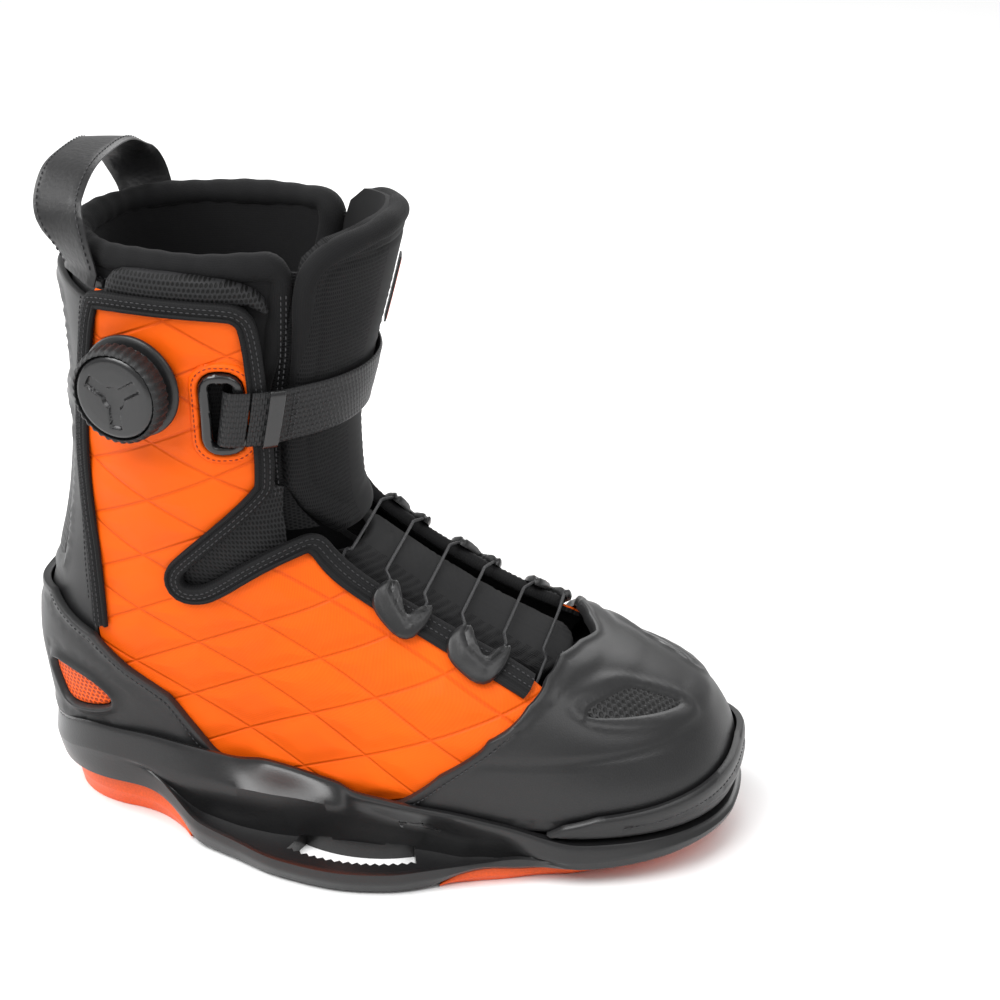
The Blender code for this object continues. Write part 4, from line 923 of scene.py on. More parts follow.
toeCap = {"step": 1.3,
          "edge": [(8, 26), (20, 32), (39, 49), (60, 67), (75, 80), (80, 86.5), (83, 90.5), (89, 90.5)],
          "ridge": [(58, 62), (65, 67), (92, 85), (101, 85.5), (117, 79), (135, 70), (150, 59), (160, 54)],
          "crease": [(50, 54), (61, 57), (90, 58), (123, 59), (146, 60)],
          "vent": [(98, 78), (97, 74.5), (104, 71.5), (129, 67.5), (140, 65.5), (124, 74), (111, 79.5)]}


def bothToe(edge):
    outside = onSide(outerSide, edge)
    inner = np.stack([-2 - outside[:, 0], outside[:, 1]], 1)
    return outside, inner[::-1]


def toeCapRelief(x, z, u, rim):
    hood = np.interp(x, *zip(*toeCap["ridge"]))
    offset = toeCap["step"] * ease(-1.6, 1.2, z - hood) * ease(60, 72, x) * (1 - ease(146, 156, x) * 0.7)
    crease = np.interp(x, *zip(*toeCap["crease"]))
    offset -= 0.8 * np.exp(-((z - crease) / 1.3) ** 2) * ease(52, 62, x) * (1 - ease(138, 148, x))
    offset += 0.7 * np.exp(-((rim - 1.6) / 1.5) ** 2) - 0.5 * np.exp(-((rim - 4.8) / 0.9) ** 2)
    for ring in toeVents:
        inside = insideRing(np.stack([u, z], 1), ring)
        edge = nearest(np.stack([u * flatWidth, z], 1), fineFlat(ring))
        offset += np.where(inside, -1.5 * ease(0, 2.0, edge), 0.8 * np.exp(-((edge - 2.6) / 1.4) ** 2))
    return offset + rimRound(rim, 1.2, 1.2)


def fineFlat(ring):
    return spaced(np.array(ring) * flatScale, 0.5, closed=True)


ventSide = softened(onSide(outerSide, toeCap["vent"]), 2, closed=True)
toeVents = [ventSide, np.stack([-2 - ventSide[:, 0], ventSide[:, 1]], 1)[::-1]]


def addToe():
    outside, inner = bothToe(toeCap["edge"])
    outline = np.vstack([outside, [(-1.0, 89)], inner])
    mesh = panelMesh("toe_cap_moulding", outline, 4.2, 3.0, 2.3, toeCapRelief,
                     fine=[(ring, 0.75) for ring in toeVents])
    finish("toe_cap_moulding", mesh, materials["mouldedRubber"], "boot", ["toe_cap"], 0.4)
    for ring, word in zip(toeVents, sideNames.values()):
        middle = ring.mean(0)
        vent = panelMesh(f"toe_vent_{word}_mesh", middle + (ring - middle) * 0.9, 3.25, 0.7, 1.2, plan=True,
                         rows=(0.7,))
        finish(f"toe_vent_{word}_mesh", vent, materials["ventMesh"], "boot")
    line = spaced(softened(outside[:-1], 2), 0.004)
    inset = line + np.stack([np.full(len(line), -0.012), np.zeros(len(line))], 1)
    addStitches("toe_cap_stitches", [lastSurface(inset[:, 0], inset[:, 1], 4.6),
                                     lastSurface(-2 - inset[:, 0], inset[:, 1], 4.6)], "boot")
    top = [(86, 27.5), (93, 32), (107, 36), (130, 38), (148, 41)]
    outside, inner = bothToe([(88, 26.5)] + top)
    outline = np.vstack([outside, [(-1.0, 45)], inner])
    mesh = panelMesh("toe_bumper_moulding", outline, 8.8, 3.3, 1.7,
                     lambda x, z, u, rim: rimRound(rim, 1.8, 1.5) - 1.1 * np.exp(-((rim - 5.2) / 0.8) ** 2))
    finish("toe_bumper_moulding", mesh, materials["mouldedRubber"], "boot", ["toe_bumper"], 0.4)
    edge = np.vstack([onSide(outerSide, spaced(top, 2)), [(-1.0, 45)]])
    edge = spaced(edge * flatScale, 2) / flatScale - (0, 5.4)
    keep = edge[:, 1] > 28
    edge = edge[keep]
    addStitches("toe_bumper_stitches", [lastSurface(edge[:, 0], edge[:, 1], 8.3),
                                        lastSurface(-2 - edge[:, 0], edge[:, 1], 8.3)], "boot")


heelCup = {"edge": [(-142, 107), (-121, 94), (-107, 79), (-89, 66), (-81, 55), (-70, 40), (-59, 30),
                    (-52, 26)],
           "window": [(-146, 76), (-140, 57), (-135, 53), (-117, 56), (-115, 62), (-127, 72)]}
windowRings = [softened(onSide(side, heelCup["window"]), 2, closed=True) for side in (outerSide, innerSide)]


def heelRelief(x, z, u, rim):
    offset = 0.8 * np.exp(-((rim - 1.5) / 1.6) ** 2) - 0.6 * np.exp(-((rim - 5.5) / 0.8) ** 2)
    offset -= 0.5 * np.exp(-((rim - 8.5) / 0.7) ** 2)
    offset = offset * ease(28, 34, z)
    swell = np.interp(x, [-160, -130, -90, -60], [45, 44, 40, 34])
    offset += 0.9 * np.exp(-((z - swell) / 2.2) ** 2) * ease(-60, -75, x)
    for ring in windowRings:
        edge = nearest(np.stack([u * flatWidth, z], 1), fineFlat(ring))
        offset += 1.1 * np.exp(-((edge - 1.2) / 1.6) ** 2)
    return offset + rimRound(rim, 1.2, 1.1)


def addHeel():
    outside = onSide(outerSide, heelCup["edge"])
    inner = np.stack([-outside[:, 0], outside[:, 1]], 1)[::-1]
    outline = np.vstack([outside[::-1], [(0.0, 104)], inner[::-1]])
    mesh = panelMesh("heel_cup_moulding", outline, 4.2, 3.0, 2.3, heelRelief, windowRings)
    finish("heel_cup_moulding", mesh, materials["mouldedRubber"], "boot", ["heel_cup"], 0.4)
    for side, ring in zip((outerSide, innerSide), windowRings):
        middle = ring.mean(0)
        word = sideNames[side]

        mesh = panelMesh(f"heel_window_{word}_honeycomb", middle + (ring - middle) * 0.97, 3.2, 2.0, 1.5,
                         lambda x, z, u, rim: rimRound(rim, 2.0, 0.8))
        finish(f"heel_window_{word}_honeycomb", mesh, materials["orangeMesh"], "boot",
               [f"heel_window_{word}"])
    lines = []
    inset = 2.8
    edge = spaced(softened(outside, 2) * flatScale, 2) / flatScale
    for mirror in (1, -1):
        lines.append(lastSurface(mirror * (edge[:, 0] + inset / flatWidth), edge[:, 1] - inset * 0.8, 4.7))
    addStitches("heel_cup_stitches", lines, "boot")


spinePads = [np.array([(-0.15, 208), (0.15, 208), (0.165, 214), (0.16, 246), (0.14, 252), (-0.14, 252),
                       (-0.16, 246),
                       (-0.165, 214)]),
             np.array([(-0.15, 118), (0.15, 118), (0.165, 126), (0.165, 188), (0.15, 196), (-0.15, 196),
                       (-0.165, 188), (-0.165, 126)])]
spinePads = [softened(ring * flatScale, 2, closed=True) / flatScale for ring in spinePads]


def spineRelief(x, z, u, rim):
    offset = rimRound(rim, 1.5, 1.0)
    for ring in spinePads:
        inside = insideRing(np.stack([u, z], 1), ring)
        edge = nearest(np.stack([u * flatWidth, z], 1), fineFlat(ring))
        offset += np.where(inside, -1.4 * ease(0, 2.5, edge), 0.9 * np.exp(-((edge - 3.2) / 1.7) ** 2))
    ribs = 0.7 * np.exp(-((z - 202 + 3 * np.cos(u * 12)) / 2.0) ** 2)
    return offset + ribs


def addSpine():
    outside = onSide(outerSide, [(x - 0.8, z) for x, z in rearEdge[outerSide][2:]])
    inner = onSide(innerSide, [(x - 0.8, z) for x, z in rearEdge[innerSide][2:]])
    outline = np.vstack([outside, [(-0.1, 261), (0.1, 261)], inner[::-1]])
    mesh = panelMesh("spine_shell_moulding", outline, 0.0, 3.0, 2.6, spineRelief,
                     fine=[(ring, 1.15) for ring in spinePads])
    finish("spine_shell_moulding", mesh, materials["mouldedRubber"], "boot", ["spine_shell"], 0.4)
    for n, ring in enumerate(spinePads):
        middle = ring.mean(0)
        pad = panelMesh(f"spine_pad_{n + 1}_mesh", middle + (ring - middle) * 0.93, -0.7, 0.9, 2.4,
                        rows=(0.8,))
        finish(f"spine_pad_{n + 1}_mesh", pad, materials["padMesh"], "boot")
    lines = []
    for ring, gap in ((outside, 4.5), (inner, -4.5)):
        edge = spaced(softened(ring, 2) * flatScale, 2) / flatScale
        edge = edge[edge[:, 1] > 108]
        lines.append(lastSurface(edge[:, 0] + gap / flatWidth, edge[:, 1], 0.1))
    addStitches("spine_shell_stitches", lines, "boot")


addQuarters()
addGussets()
print("quarters sewn")
addToe()
addHeel()
addSpine()
print("toe, heel and spine moulded")

# Liner, collars and tongue

liner = {"gap": 6.6, "thickness": 8.0, "rollTop": 271.5, "rollRadius": 5.8,
         "front": [(84, 66), (30, 90), (-20, 111), (-41, 127), (-41, 150), (-41, 176), (-38.5, 192),
                   (-34, 210),
                   (-28.5, 236), (-23, 262), (-23.5, 269), (-28, 274)]}


def linerRelief(x, z, u, rim):
    return rimRound(rim, 4.0, 3.0) - 0.8 * np.exp(-((z - 258) / 1.8) ** 2)


def addLiner():
    front = onSide(outerSide, softened(liner["front"], 1))
    outline = np.vstack([[(-1.0, 30)], [(-1.0, 62)], front, [(-0.25, 274.5)], [(0.0, 274.5)],
                         [(0.25, 274.5)],
                         (front * (-1, 1))[::-1], [(1.0, 62)], [(1.0, 30)]])
    mesh = panelMesh("liner_boot", outline, -liner["gap"], liner["thickness"], 4.2, linerRelief)
    finish("liner_boot", mesh, materials["neoprene"], "boot", ["liner"], 2.4, 3)
    side = front[front[:, 1] > 205][:-2]
    top = np.array([(u, liner["rollTop"]) for u in np.linspace(-0.66, 0.66, 40)])
    path = np.vstack([side + (0.012, 0), top, (side * (-1, 1))[::-1] - (0.012, 0)])
    path = spaced(softened(path * flatScale, 3), 2.2) / flatScale
    line = lastSurface(path[:, 0], path[:, 1], -liner["gap"] - 3.6)
    ends = np.minimum(np.arange(len(line)), np.arange(len(line))[::-1])
    puff = 1 + 0.05 * np.sin(np.arange(len(line)) * 0.21) + 0.03 * np.sin(np.arange(len(line)) * 0.83)
    radii = liner["rollRadius"] * puff * (0.55 + 0.45 * ease(0, 22, ends))
    roll = finish("liner_rim_roll", tubeMesh("liner_rim_roll", line, radii, 28), materials["neoprene"],
                  "boot")
    us = np.linspace(-0.62, 0.62, 160)
    addStitches("liner_stitches", [lastSurface(us, np.full(160, 263.0), -5.6)], "boot", gap=3.2, length=2.2)


def addThroatGussets():  # stretch cloth that closes the gap between the liner's front edge and the tongue
    zs = np.linspace(150, 268, 40)
    for side, word in sideNames.items():
        linerEdge = onSide(side, np.stack([np.interp(zs, [150, 176, 192, 210, 236, 268],
                                                     [-42, -42, -40, -36, -31, -25]), zs], 1))
        reach = np.interp(zs, [150, 160, 172, 235, 262, 268], [0.82, 0.775, 0.745, 0.74, 0.73, 0.73])
        tongueEdge = np.stack([side * reach, zs], 1)
        profile = [(0.0, -8.6), (0.25, -8.9), (0.5, -8.6), (0.75, -7.4), (1.0, -6.2), (1.0, -7.4),
                   (0.5, -9.8),
                   (0.0, -9.8)]
        mesh = stripMesh(f"throat_gusset_{word}_cloth", linerEdge, tongueEdge, profile)
        gusset = finish(f"throat_gusset_{word}_cloth", mesh, materials["fineKnit"], None)
        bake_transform(gusset)


def addCollars():
    for side, word in sideNames.items():
        outline = onSide(side, softened([(-104, 258), (-101, 268), (-92, 272), (-62, 271), (-44, 268),
                                         (-33, 262),
                                         (-31, 252), (-40, 258)], 1))
        mesh = panelMesh(f"collar_{word}_pad", outline, -0.8, 5.0, 2.2,
                         lambda x, z, u, rim: 2.6 * np.sqrt(ease(0, 11, rim)) + rimRound(rim, 2.2, 2.2))
        pad = finish(f"collar_{word}_pad", mesh, materials["coarseMesh"], "boot", [f"collar_{word}"], 1.2,
                     3)


tongue = {"edge": 0.748}


def tongueRelief(x, z, u, rim):
    ribs = 0.25 * np.cos((u + 1) * flatWidth / 2.1 * np.pi) * ease(9, 13, rim) * (1 - ease(250, 262, z))
    rim2 = 1.8 * np.sqrt(ease(0, 9, rim)) - 0.9 * np.exp(-((rim - 9.5) / 1.2) ** 2)
    return rim2 + ribs + rimRound(rim, 3.2, 3.0)


def addTongue():
    e = tongue["edge"]
    upper = [(-0.88, 146), (-0.84, 151), (-0.79, 158), (-e, 170), (-e + 0.006, 200), (-e + 0.015, 235),
             (-e + 0.032, 262), (-e + 0.022, 274), (-e - 0.02, 281), (-0.9, 284)]
    outline = np.array(upper + [(-2 - u, z) for u, z in upper[::-1]])
    mesh = panelMesh("tongue_shin_pad", outline, -0.8, 8.6, 2.1, tongueRelief)
    pad = finish("tongue_shin_pad", mesh, materials["fineKnit"], "tongue", ["tongue_shin"], 1.8, 3)
    rim = np.array(upper[4:] + [(-1.0, 284.5)])
    rim = np.vstack([rim, (rim[:-1] * (-1, 1) - (2, 0))[::-1]])
    rim = spaced(softened(rim * flatScale, 3), 2.2) / flatScale
    ends = np.minimum(np.arange(len(rim)), np.arange(len(rim))[::-1])
    radii = 5.0 * (1 + 0.04 * np.sin(np.arange(len(rim)) * 0.33)) * (0.5 + 0.5 * ease(0, 30, ends))
    inset = np.stack([np.sign(rim[:, 0] + 1) * -0.016 * ease(0.02, 0.12, np.abs(rim[:, 0] + 1)),
                      -3.0 * ease(262, 280, rim[:, 1])], 1)
    line = lastSurface((rim + inset)[:, 0], (rim + inset)[:, 1], -3.6)
    roll = finish("tongue_rim_roll", tubeMesh("tongue_rim_roll", line, radii, 28), materials["neoprene"],
                  "tongue")
    lines = []
    for shift in (0.028, 0.038):
        edge = spaced(np.array(upper[3:7]) * flatScale, 2) / flatScale + (shift, 0)
        for mirror in (0, 1):
            us = -2 - edge[:, 0] if mirror else edge[:, 0]
            lines.append(lastSurface(us, edge[:, 1], 1.0))
    addStitches("tongue_shin_stitches", lines, "tongue")
    lower = [(-0.885, 91), (-0.858, 100), (-0.835, 109), (-0.82, 121), (-0.82, 133), (-0.84, 140)]
    outline = np.array(lower + [(-2 - u, z) for u, z in lower[::-1]])
    mesh = panelMesh("tongue_instep_pad", outline, -7.2, 5.0, 2.0,
                     lambda x, z, u, rim: 1.6 * ease(0, 9,
                                                     rim) + 0.25 * np.cos((u + 1) * flatWidth / 1.8 * np.pi)
                     + rimRound(rim, 2, 2))
    finish("tongue_instep_pad", mesh, materials["fineKnit"], "boot", ["tongue_instep"], 1.2, 3)
    ring = np.array([(-1.085, 232), (-1.045, 232), (-1.045, 262), (-1.085, 262)])
    mesh = panelMesh("tongue_label_patch", ring, 2.9, 0.9, 1.2, lambda x, z, u,
                     rim: -0.35 * ease(1.0, 1.5, rim))
    finish("tongue_label_patch", mesh, materials["mouldedRubber"], "tongue", ["tongue_label"], 0.2)
    edge = fineRing(np.array([(-1.0825, 233.5), (-1.0475, 233.5), (-1.0475, 260.5), (-1.0825, 260.5)]), 1)
    edge = np.vstack([edge, edge[:1]])
    mesh = tubeMesh("tongue_label_border", lastSurface(edge[:, 0], edge[:, 1], 2.75), 0.32, 6)
    finish("tongue_label_border", mesh, materials["orangeFoam"], "tongue")


# Strap, ring and ladder

strap = {"z": 209.0, "webbing": 25.0, "ladder": 38.0, "hinge": -43.0, "ladderHinge": -19.0,
         "ladderEnd": -104.0}


def bandOnLast(name, stations, low, high, thickness, profile=None, steps=26, roundEdge=0.35):
    # stations are (u, offset of the middle); profile(share) ribs the band from height low to high
    us = np.array([s[0] for s in stations])
    offs = np.array([s[1] for s in stations])
    length = np.linalg.norm(np.diff(lastSurface(us, (low + high) / 2, offs), axis=0), axis=1)
    at = np.concatenate([[0], np.cumsum(length)])
    fine = np.linspace(0, at[-1], max(3, int(at[-1] / 1.2)))
    us, offs = np.interp(fine, at, us), np.interp(fine, at, offs)
    for _ in range(4):
        offs[1:-1] = (offs[:-2] + 2 * offs[1:-1] + offs[2:]) / 4
    shares = np.linspace(0, 1, steps)
    zs = low + (high - low) * shares
    bump = profile(shares) if profile else np.zeros(steps)
    edge = np.clip(np.minimum(shares, 1 - shares) * (high - low) / roundEdge, 0, 1)
    half = thickness / 2 * np.sqrt(1 - (1 - edge) ** 2 * 0.9)
    rings, uvs = [], []
    for u, off, run in zip(us, offs, fine):
        upper = lastSurface(u + 0 * zs, zs, off + half + bump)
        lower = lastSurface(u + 0 * zs, zs[::-1], off - half[::-1])
        rings.append(np.vstack([upper, lower]))
        v = np.concatenate([zs, zs[::-1]]) - low
        uvs.append(np.stack([np.full(len(v), run), v], 1))
    return outwards(loftMesh(name, rings, uvs))


def webbingRibs(shares):
    middle = ease(0.24, 0.27, shares) * (1 - ease(0.73, 0.76, shares))
    return 0.28 * np.abs(np.cos(shares * np.pi * 12)) * middle + 0.12 * (1 - middle)


def strapU(side, x):
    return side * float(uAt(x, strap["z"]))


def addStrap():
    low, high = strap["z"] - strap["webbing"] / 2, strap["z"] + strap["webbing"] / 2
    anchor = [(strap["hinge"] - 0.8, 4.9), (-47, 4.9), (-50, 4.8), (-52, 4.2), (-53.2, 3.2), (-53.9, 1.5),
              (-54, 0),
              (-53.9, -1.8), (-53.4, -3.4), (-52, -4.6), (-50, -5.0), (-41, -5.0)]
    stations = [(strapU(outerSide, x), off) for x, off in anchor]
    mesh = bandOnLast("webbing_anchor_fold", stations, low, high, 1.4, webbingRibs)
    finish("webbing_anchor_fold", mesh, materials["webbing"], "boot", ["webbing_anchor"])
    start, end = -strapU(outerSide, strap["hinge"]), strapU(innerSide, strap["ladderHinge"] + 1.6)
    stations = []
    for t in np.linspace(0, 1, 60):
        off = float(np.interp(t, [0, 0.08, 0.2, 0.85, 1], [4.9, 4.7, 3.3, 3.3, 4.0]))
        stations.append((-start - (2 - start - end) * t, off))
    mesh = bandOnLast("webbing_strap_weave", stations, low, high, 1.4, webbingRibs)
    finish("webbing_strap_weave", mesh, materials["webbing"], "webbing", ["webbing_strap"])
    keeper = [(strapU(outerSide, x), 6.5) for x in (-37.2, -36.5, -35, -33.5, -32.2)]
    mesh = bandOnLast("strap_keeper_clip", keeper, low - 0.9, high + 0.9, 1.5,
                      lambda s: 0.5 * ease(0, 0.1, s) * (1 - ease(0.9, 1, s)))
    finish("strap_keeper_clip", mesh, materials["glossTrim"], "webbing", ["strap_keeper"], 0.35)
    lines = []
    for u in (strapU(outerSide, -28.5), strapU(outerSide, -27.2)):
        zs = np.linspace(low + 3, high - 3, 12)
        lines.append(lastSurface(u + 0 * zs, zs, 5.1))
    addStitches("webbing_strap_stitches", lines, "webbing", gap=1.5, length=1.2)
    addLadder()


ladderHoles = {"columns": 6, "pitch": 10.5, "first": 18.0, "rise": 5.5, "width": 7.8, "height": 6.0}


def ladderRelief(x, z, u, rim):
    h = ladderHoles
    field = ease(-100, -97, x) * (1 - ease(-34, -30, x))
    offset = -0.5 * ease(3.0, 3.8, rim) * field
    start = strap["ladderEnd"] + h["first"]
    for column in range(h["columns"]):
        for row in (-1, 1):
            cx, cz = start + h["pitch"] * column, strap["z"] + row * h["rise"]
            gap = np.maximum(np.abs(x - cx) - h["width"] / 2, np.abs(z - cz) - h["height"] / 2)
            offset += 0.45 * np.exp(-((gap - 0.5) / 0.6) ** 2)
    tip = (1 - ease(-94, -92, x)) * ease(2.0, 3.0, rim)
    offset += 0.5 * np.clip(np.cos((x + 0.6 * z) * 2 * np.pi / 3.4), 0, 1) * tip
    sewn = ease(-30, -28.5, x)
    offset += -0.35 * sewn * ease(1.5, 2.2, rim)
    return offset + rimRound(rim, 0.9, 0.9)


def addLadder():
    h = ladderHoles
    tall = strap["ladder"] / 2
    x0, x1 = strap["ladderEnd"], strap["ladderHinge"] - 1.6
    corners = [(x0, -tall + 7), (x0 + 7, -tall), (x1 - 12, -tall), (x1, -13.5), (x1, 13.5), (x1 - 12, tall),
               (x0 + 7, tall), (x0, tall - 7)]
    outline = softened([(x, strap["z"] + dz) for x, dz in corners], 2, closed=True)
    start = x0 + h["first"]
    holes = [onSide(innerSide, oblong(start + h["pitch"] * c, strap["z"] + row * h["rise"],
                                      h["width"] - 0.3,
                                      h["height"] - 0.3, 1.2,
                                      3)) for c in range(h["columns"]) for row in (-1, 1)]
    mesh = panelMesh("ladder_strap_moulding", onSide(innerSide, outline), 6.0, 2.5, 1.3, ladderRelief,
                     holes)
    finish("ladder_strap_moulding", mesh, materials["mouldedRubber"], "ladder", ["ladder_strap"], 0.3)
    lines = []
    for x in (-25.2, -23.6):
        zs = np.linspace(strap["z"] - 10, strap["z"] + 10, 12)
        uz = onSide(innerSide, [(x, z) for z in zs])
        lines.append(lastSurface(uz[:, 0], uz[:, 1], 5.9))
    addStitches("ladder_strap_stitches", lines, "ladder", gap=1.6, length=1.3)


def addRing():
    r = ringPlace
    outer = onSide(outerSide, oblong(r["x"], r["z"], r["width"], r["height"], 7.5))
    inner = onSide(outerSide, oblong(r["x"], r["z"], r["width"] - 2 * r["bar"], r["height"] - 2 * r["bar"],
                                     2.5))
    mesh = panelMesh("strap_ring_moulding", outer, 2.9, 5.7, 0.9, lambda x, z, u,
                     rim: rimRound(rim, 2.0, 1.3), [inner])
    finish("strap_ring_moulding", mesh, materials["glossTrim"], "boot", ["strap_ring"], 0.5)
    frameRing = onSide(outerSide, oblong(r["x"], r["z"], r["width"] + 9, r["height"] + 9, 11))
    hole = onSide(outerSide, oblong(r["x"], r["z"], r["width"] + 1.0, r["height"] + 1.0, 8))
    mesh = panelMesh("strap_ring_surround", frameRing, 0.9, 1.4, 1.0,
                     lambda x, z, u, rim: 0.5 * ease(0, 1.4, rim) + rimRound(rim, 1.0, 0.9), [hole])
    finish("strap_ring_surround", mesh, materials["orangeCloth"], "boot", [], 0.2)
    edge = onSide(outerSide, oblong(r["x"], r["z"], r["width"] + 5.4, r["height"] + 5.4, 9.5, 12))
    edge = np.vstack([edge, edge[:1]])
    addStitches("strap_ring_stitches", [lastSurface(edge[:, 0], edge[:, 1], 1.45)], "boot", "redThread",
                2.4, 1.7)
    back = onSide(outerSide, oblong(r["x"], r["z"], r["width"] + 3, r["height"] + 3, 5))
    mesh = panelMesh("strap_ring_backing", back, -5.9, 0.6, 2.0)
    finish("strap_ring_backing", mesh, materials["fineKnit"], "boot")
    low = onSide(outerSide, [(r["x"] - 3, r["z"] - 15), (r["x"] + 5, r["z"] - 15), (r["x"] + 5, r["z"] - 4),
                             (r["x"] - 3, r["z"] - 12)])
    mesh = panelMesh("strap_ring_mesh", low, -5.6, 0.4, 1.5)
    finish("strap_ring_mesh", mesh, materials["orangeMesh"], "boot")


def addPegPlate():
    x = strap["ladderEnd"] + 18 + 21
    outline = onSide(innerSide, oblong(x, strap["z"], 18, 26, 6))

    def relief(px, z, u, rim):
        pegs = 0
        for row in (-1, 1):
            gap = np.maximum(np.abs(px - x) - 2.2, np.abs(z - strap["z"] - row * 5.5) - 1.9)
            pegs = pegs + 3.0 * (1 - ease(-0.7, 0.3, gap))
        return pegs + rimRound(rim, 0.8, 0.7)

    mesh = panelMesh("peg_plate_moulding", outline, 2.6, 1.4, 0.7, relief)
    finish("peg_plate_moulding", mesh, materials["glossTrim"], "boot", ["peg_plate"], 0.2)


# Dial

dial = {"ribs": 36, "armWidth": 5.2, "armLength": 13.5}


def addDial():
    centre = lastPoint(dialPlace["u"], dialPlace["z"])
    axis = lastNormal(dialPlace["u"], dialPlace["z"])
    base = [(0, -1.0), (14, -1.0), (14, 6.4), (17.4, 6.4), (18.0, 6.0), (18.2, 4.6), (20.5, 4.3),
            (22.2, 3.8), (22.7, 3.2),
            (22.7, 2.0), (17.6, 2.0), (17.6, -2.6), (0, -2.6)]
    finish("dial_base_housing", latheMesh("dial_base_housing", base, centre, axis),
           materials["mouldedRubber"], "boot",
           ["dial_base"], 0.2)
    spool = [(0, 7.4), (4.6, 7.4), (5, 7.0), (5, 5.6), (10.8, 5.6), (11.2, 5.2), (11.2, 4.4), (9.4, 3.6),
             (9.4, 1.2),
             (11.2, 0.4), (11.2, -0.4), (0, -0.4)]
    finish("dial_spool_reel", latheMesh("dial_spool_reel", spool, centre, axis, 48),
           materials["glossTrim"], "reel",
           ["dial_spool"], 0.15)
    addDialCap(centre, axis)
    grip = [(18.95, 16.3), (19.6, 16.5), (20.6, 15.8), (21.1, 14.4), (21.3, 12), (21.4, 8.6), (21.0, 7.7),
            (19.0, 7.6),
            (18.95, 10)]

    def ribs(turn, k):
        return -0.7 * (0.5 + 0.5 * math.tanh(3 * math.cos(turn * dial["ribs"]))) if 1 <= k <= 6 else 0

    finish("dial_grip_ribs", latheMesh("dial_grip_ribs", grip + grip[:1], centre, axis, dial["ribs"] * 8,
                                       ribs),
           materials["roughRubber"], "dial_cap", ["dial_grip"])


def addDialCap(centre, axis):
    side = np.cross(axis, (0, 0, 1.0))
    side /= np.linalg.norm(side)
    up = np.cross(side, axis)
    radii = np.concatenate([np.linspace(0.4, 17.4, 34), [17.9, 18.3, 18.55, 18.6]])
    heights = np.interp(radii, [0, 8, 13, 16.5, 17.6, 18.3, 18.6],
                        [17.0, 17.3, 17.2, 16.9, 16.4, 15.7, 14.6])
    rings = []
    steps = 144
    turns = np.linspace(0, 2 * np.pi, steps, endpoint=False)
    for r, h in zip(radii, heights):
        arm = np.zeros(steps)
        for start in (0.5, 0.5 + 2 * np.pi / 3, 0.5 + 4 * np.pi / 3):
            off = np.abs(r * np.sin(turns - start))
            ahead = r * np.cos(turns - start)
            arm = np.maximum(arm, (1 - ease(dial["armWidth"] / 2 - 0.5, dial["armWidth"] / 2 + 0.4, off))
                             * (ahead > 0) * (1 - ease(dial["armLength"] - 0.6, dial["armLength"] + 0.4,
                                                       ahead)))
        arm = np.maximum(arm, 1 - ease(4.6, 5.4, r))
        top = h - 1.5 * arm
        rings.append(np.array([np.array(centre) + r * (math.cos(t) * side + math.sin(t) * up) + z * axis
                               for t, z in zip(turns, top)]))
    for r, h in ((18.6, 8.4), (18.3, 8.2), (7, 8.2), (7, 10.5), (0.3, 10.5)):
        rings.append(np.array([np.array(centre) + r * (math.cos(t) * side + math.sin(t) * up) + h * axis
                               for t in turns]))
    mesh = outwards(loftMesh("dial_knob_cap", rings))
    finish("dial_knob_cap", mesh, materials["glossTrim"], "dial_cap", ["dial_knob"], smoothAngle=30)


# Lace and guides

crossings = [(-7, 138, 27), (8, 129, 25.5), (25, 119, 25), (41.5, 110, 23.5), (60, 102, 22.5), (77, 94, 19)]
lace = {"radius": 0.75, "under": -4.9}
hiddenUpper = [(-13, 131), (-32, 117), (-60, 103), (-88, 107), (-99, 130), (-98, 165), (-88, 195)]
hiddenLower = [(75, 84), (55, 74), (20, 72), (-30, 78), (-75, 84), (-101, 96), (-110, 125), (-111, 165),
               (-104, 197)]


def laceTurn(side, k):
    (x0, z0, _), (x1, z1, _) = crossings[k], crossings[k + 1]
    if k == len(crossings) - 2:
        x1 -= 3.0
    spots = [(x0 + 1.5, z0 - 4.0, 3.9), (x0 + 0.5, z0 - 9.5, 4.2), (x0 + 4, z0 - 13.5, 4.2),
             (x1 - 5.5, z1 - 11.5, 4.2), (x1 - 0.5, z1 - 9.0, 4.2), (x1 + 1.0, z1 - 4.0, 3.9)]
    return [sidePoint(side, x, z, off) for x, z, off in spots]


def lacePath():
    centre, axis = lastPoint(dialPlace["u"], dialPlace["z"]), lastNormal(dialPlace["u"], dialPlace["z"])
    rear = np.cross(axis, (0, 0, 1.0))
    rear /= np.linalg.norm(rear)
    down = np.cross(rear, axis)
    down = down / np.linalg.norm(down) * (-1 if down[2] > 0 else 1)
    ports = [centre + (down - rear) * 12.7 / math.sqrt(2), centre + (down + rear) * 12.7 / math.sqrt(2)]
    up = np.array((0, 0, 1.0))
    upper = [ports[0] + axis * 1.5, ports[0] - axis * 3.0, ports[0] - axis * 5.2 - up * 3]
    upper += [sidePoint(outerSide, x, z, lace["under"]) for x, z in hiddenUpper[::-1]]
    upper.append(sidePoint(outerSide, -7.5, 139.5, -3.2))
    lower = [sidePoint(outerSide, 79.5, 92.5, -2.6)]
    lower += [sidePoint(outerSide, x, z, lace["under"]) for x, z in hiddenLower]
    lower += [ports[1] - axis * 5.2 - up * 3, ports[1] - axis * 3.0, ports[1] + axis * 1.5]
    path = list(smoothPath(upper, 5))
    side = outerSide
    middle = []
    for k, (x, z, half) in enumerate(crossings):
        middle += [(x, side * half, z), (x, 0, z - 0.2), (x, -side * half, z)]
        side = -side
        if k < len(crossings) - 1:
            middle += laceTurn(side, k)
    return np.array(path + [np.array(p, float) for p in middle] + list(smoothPath(lower, 5)))


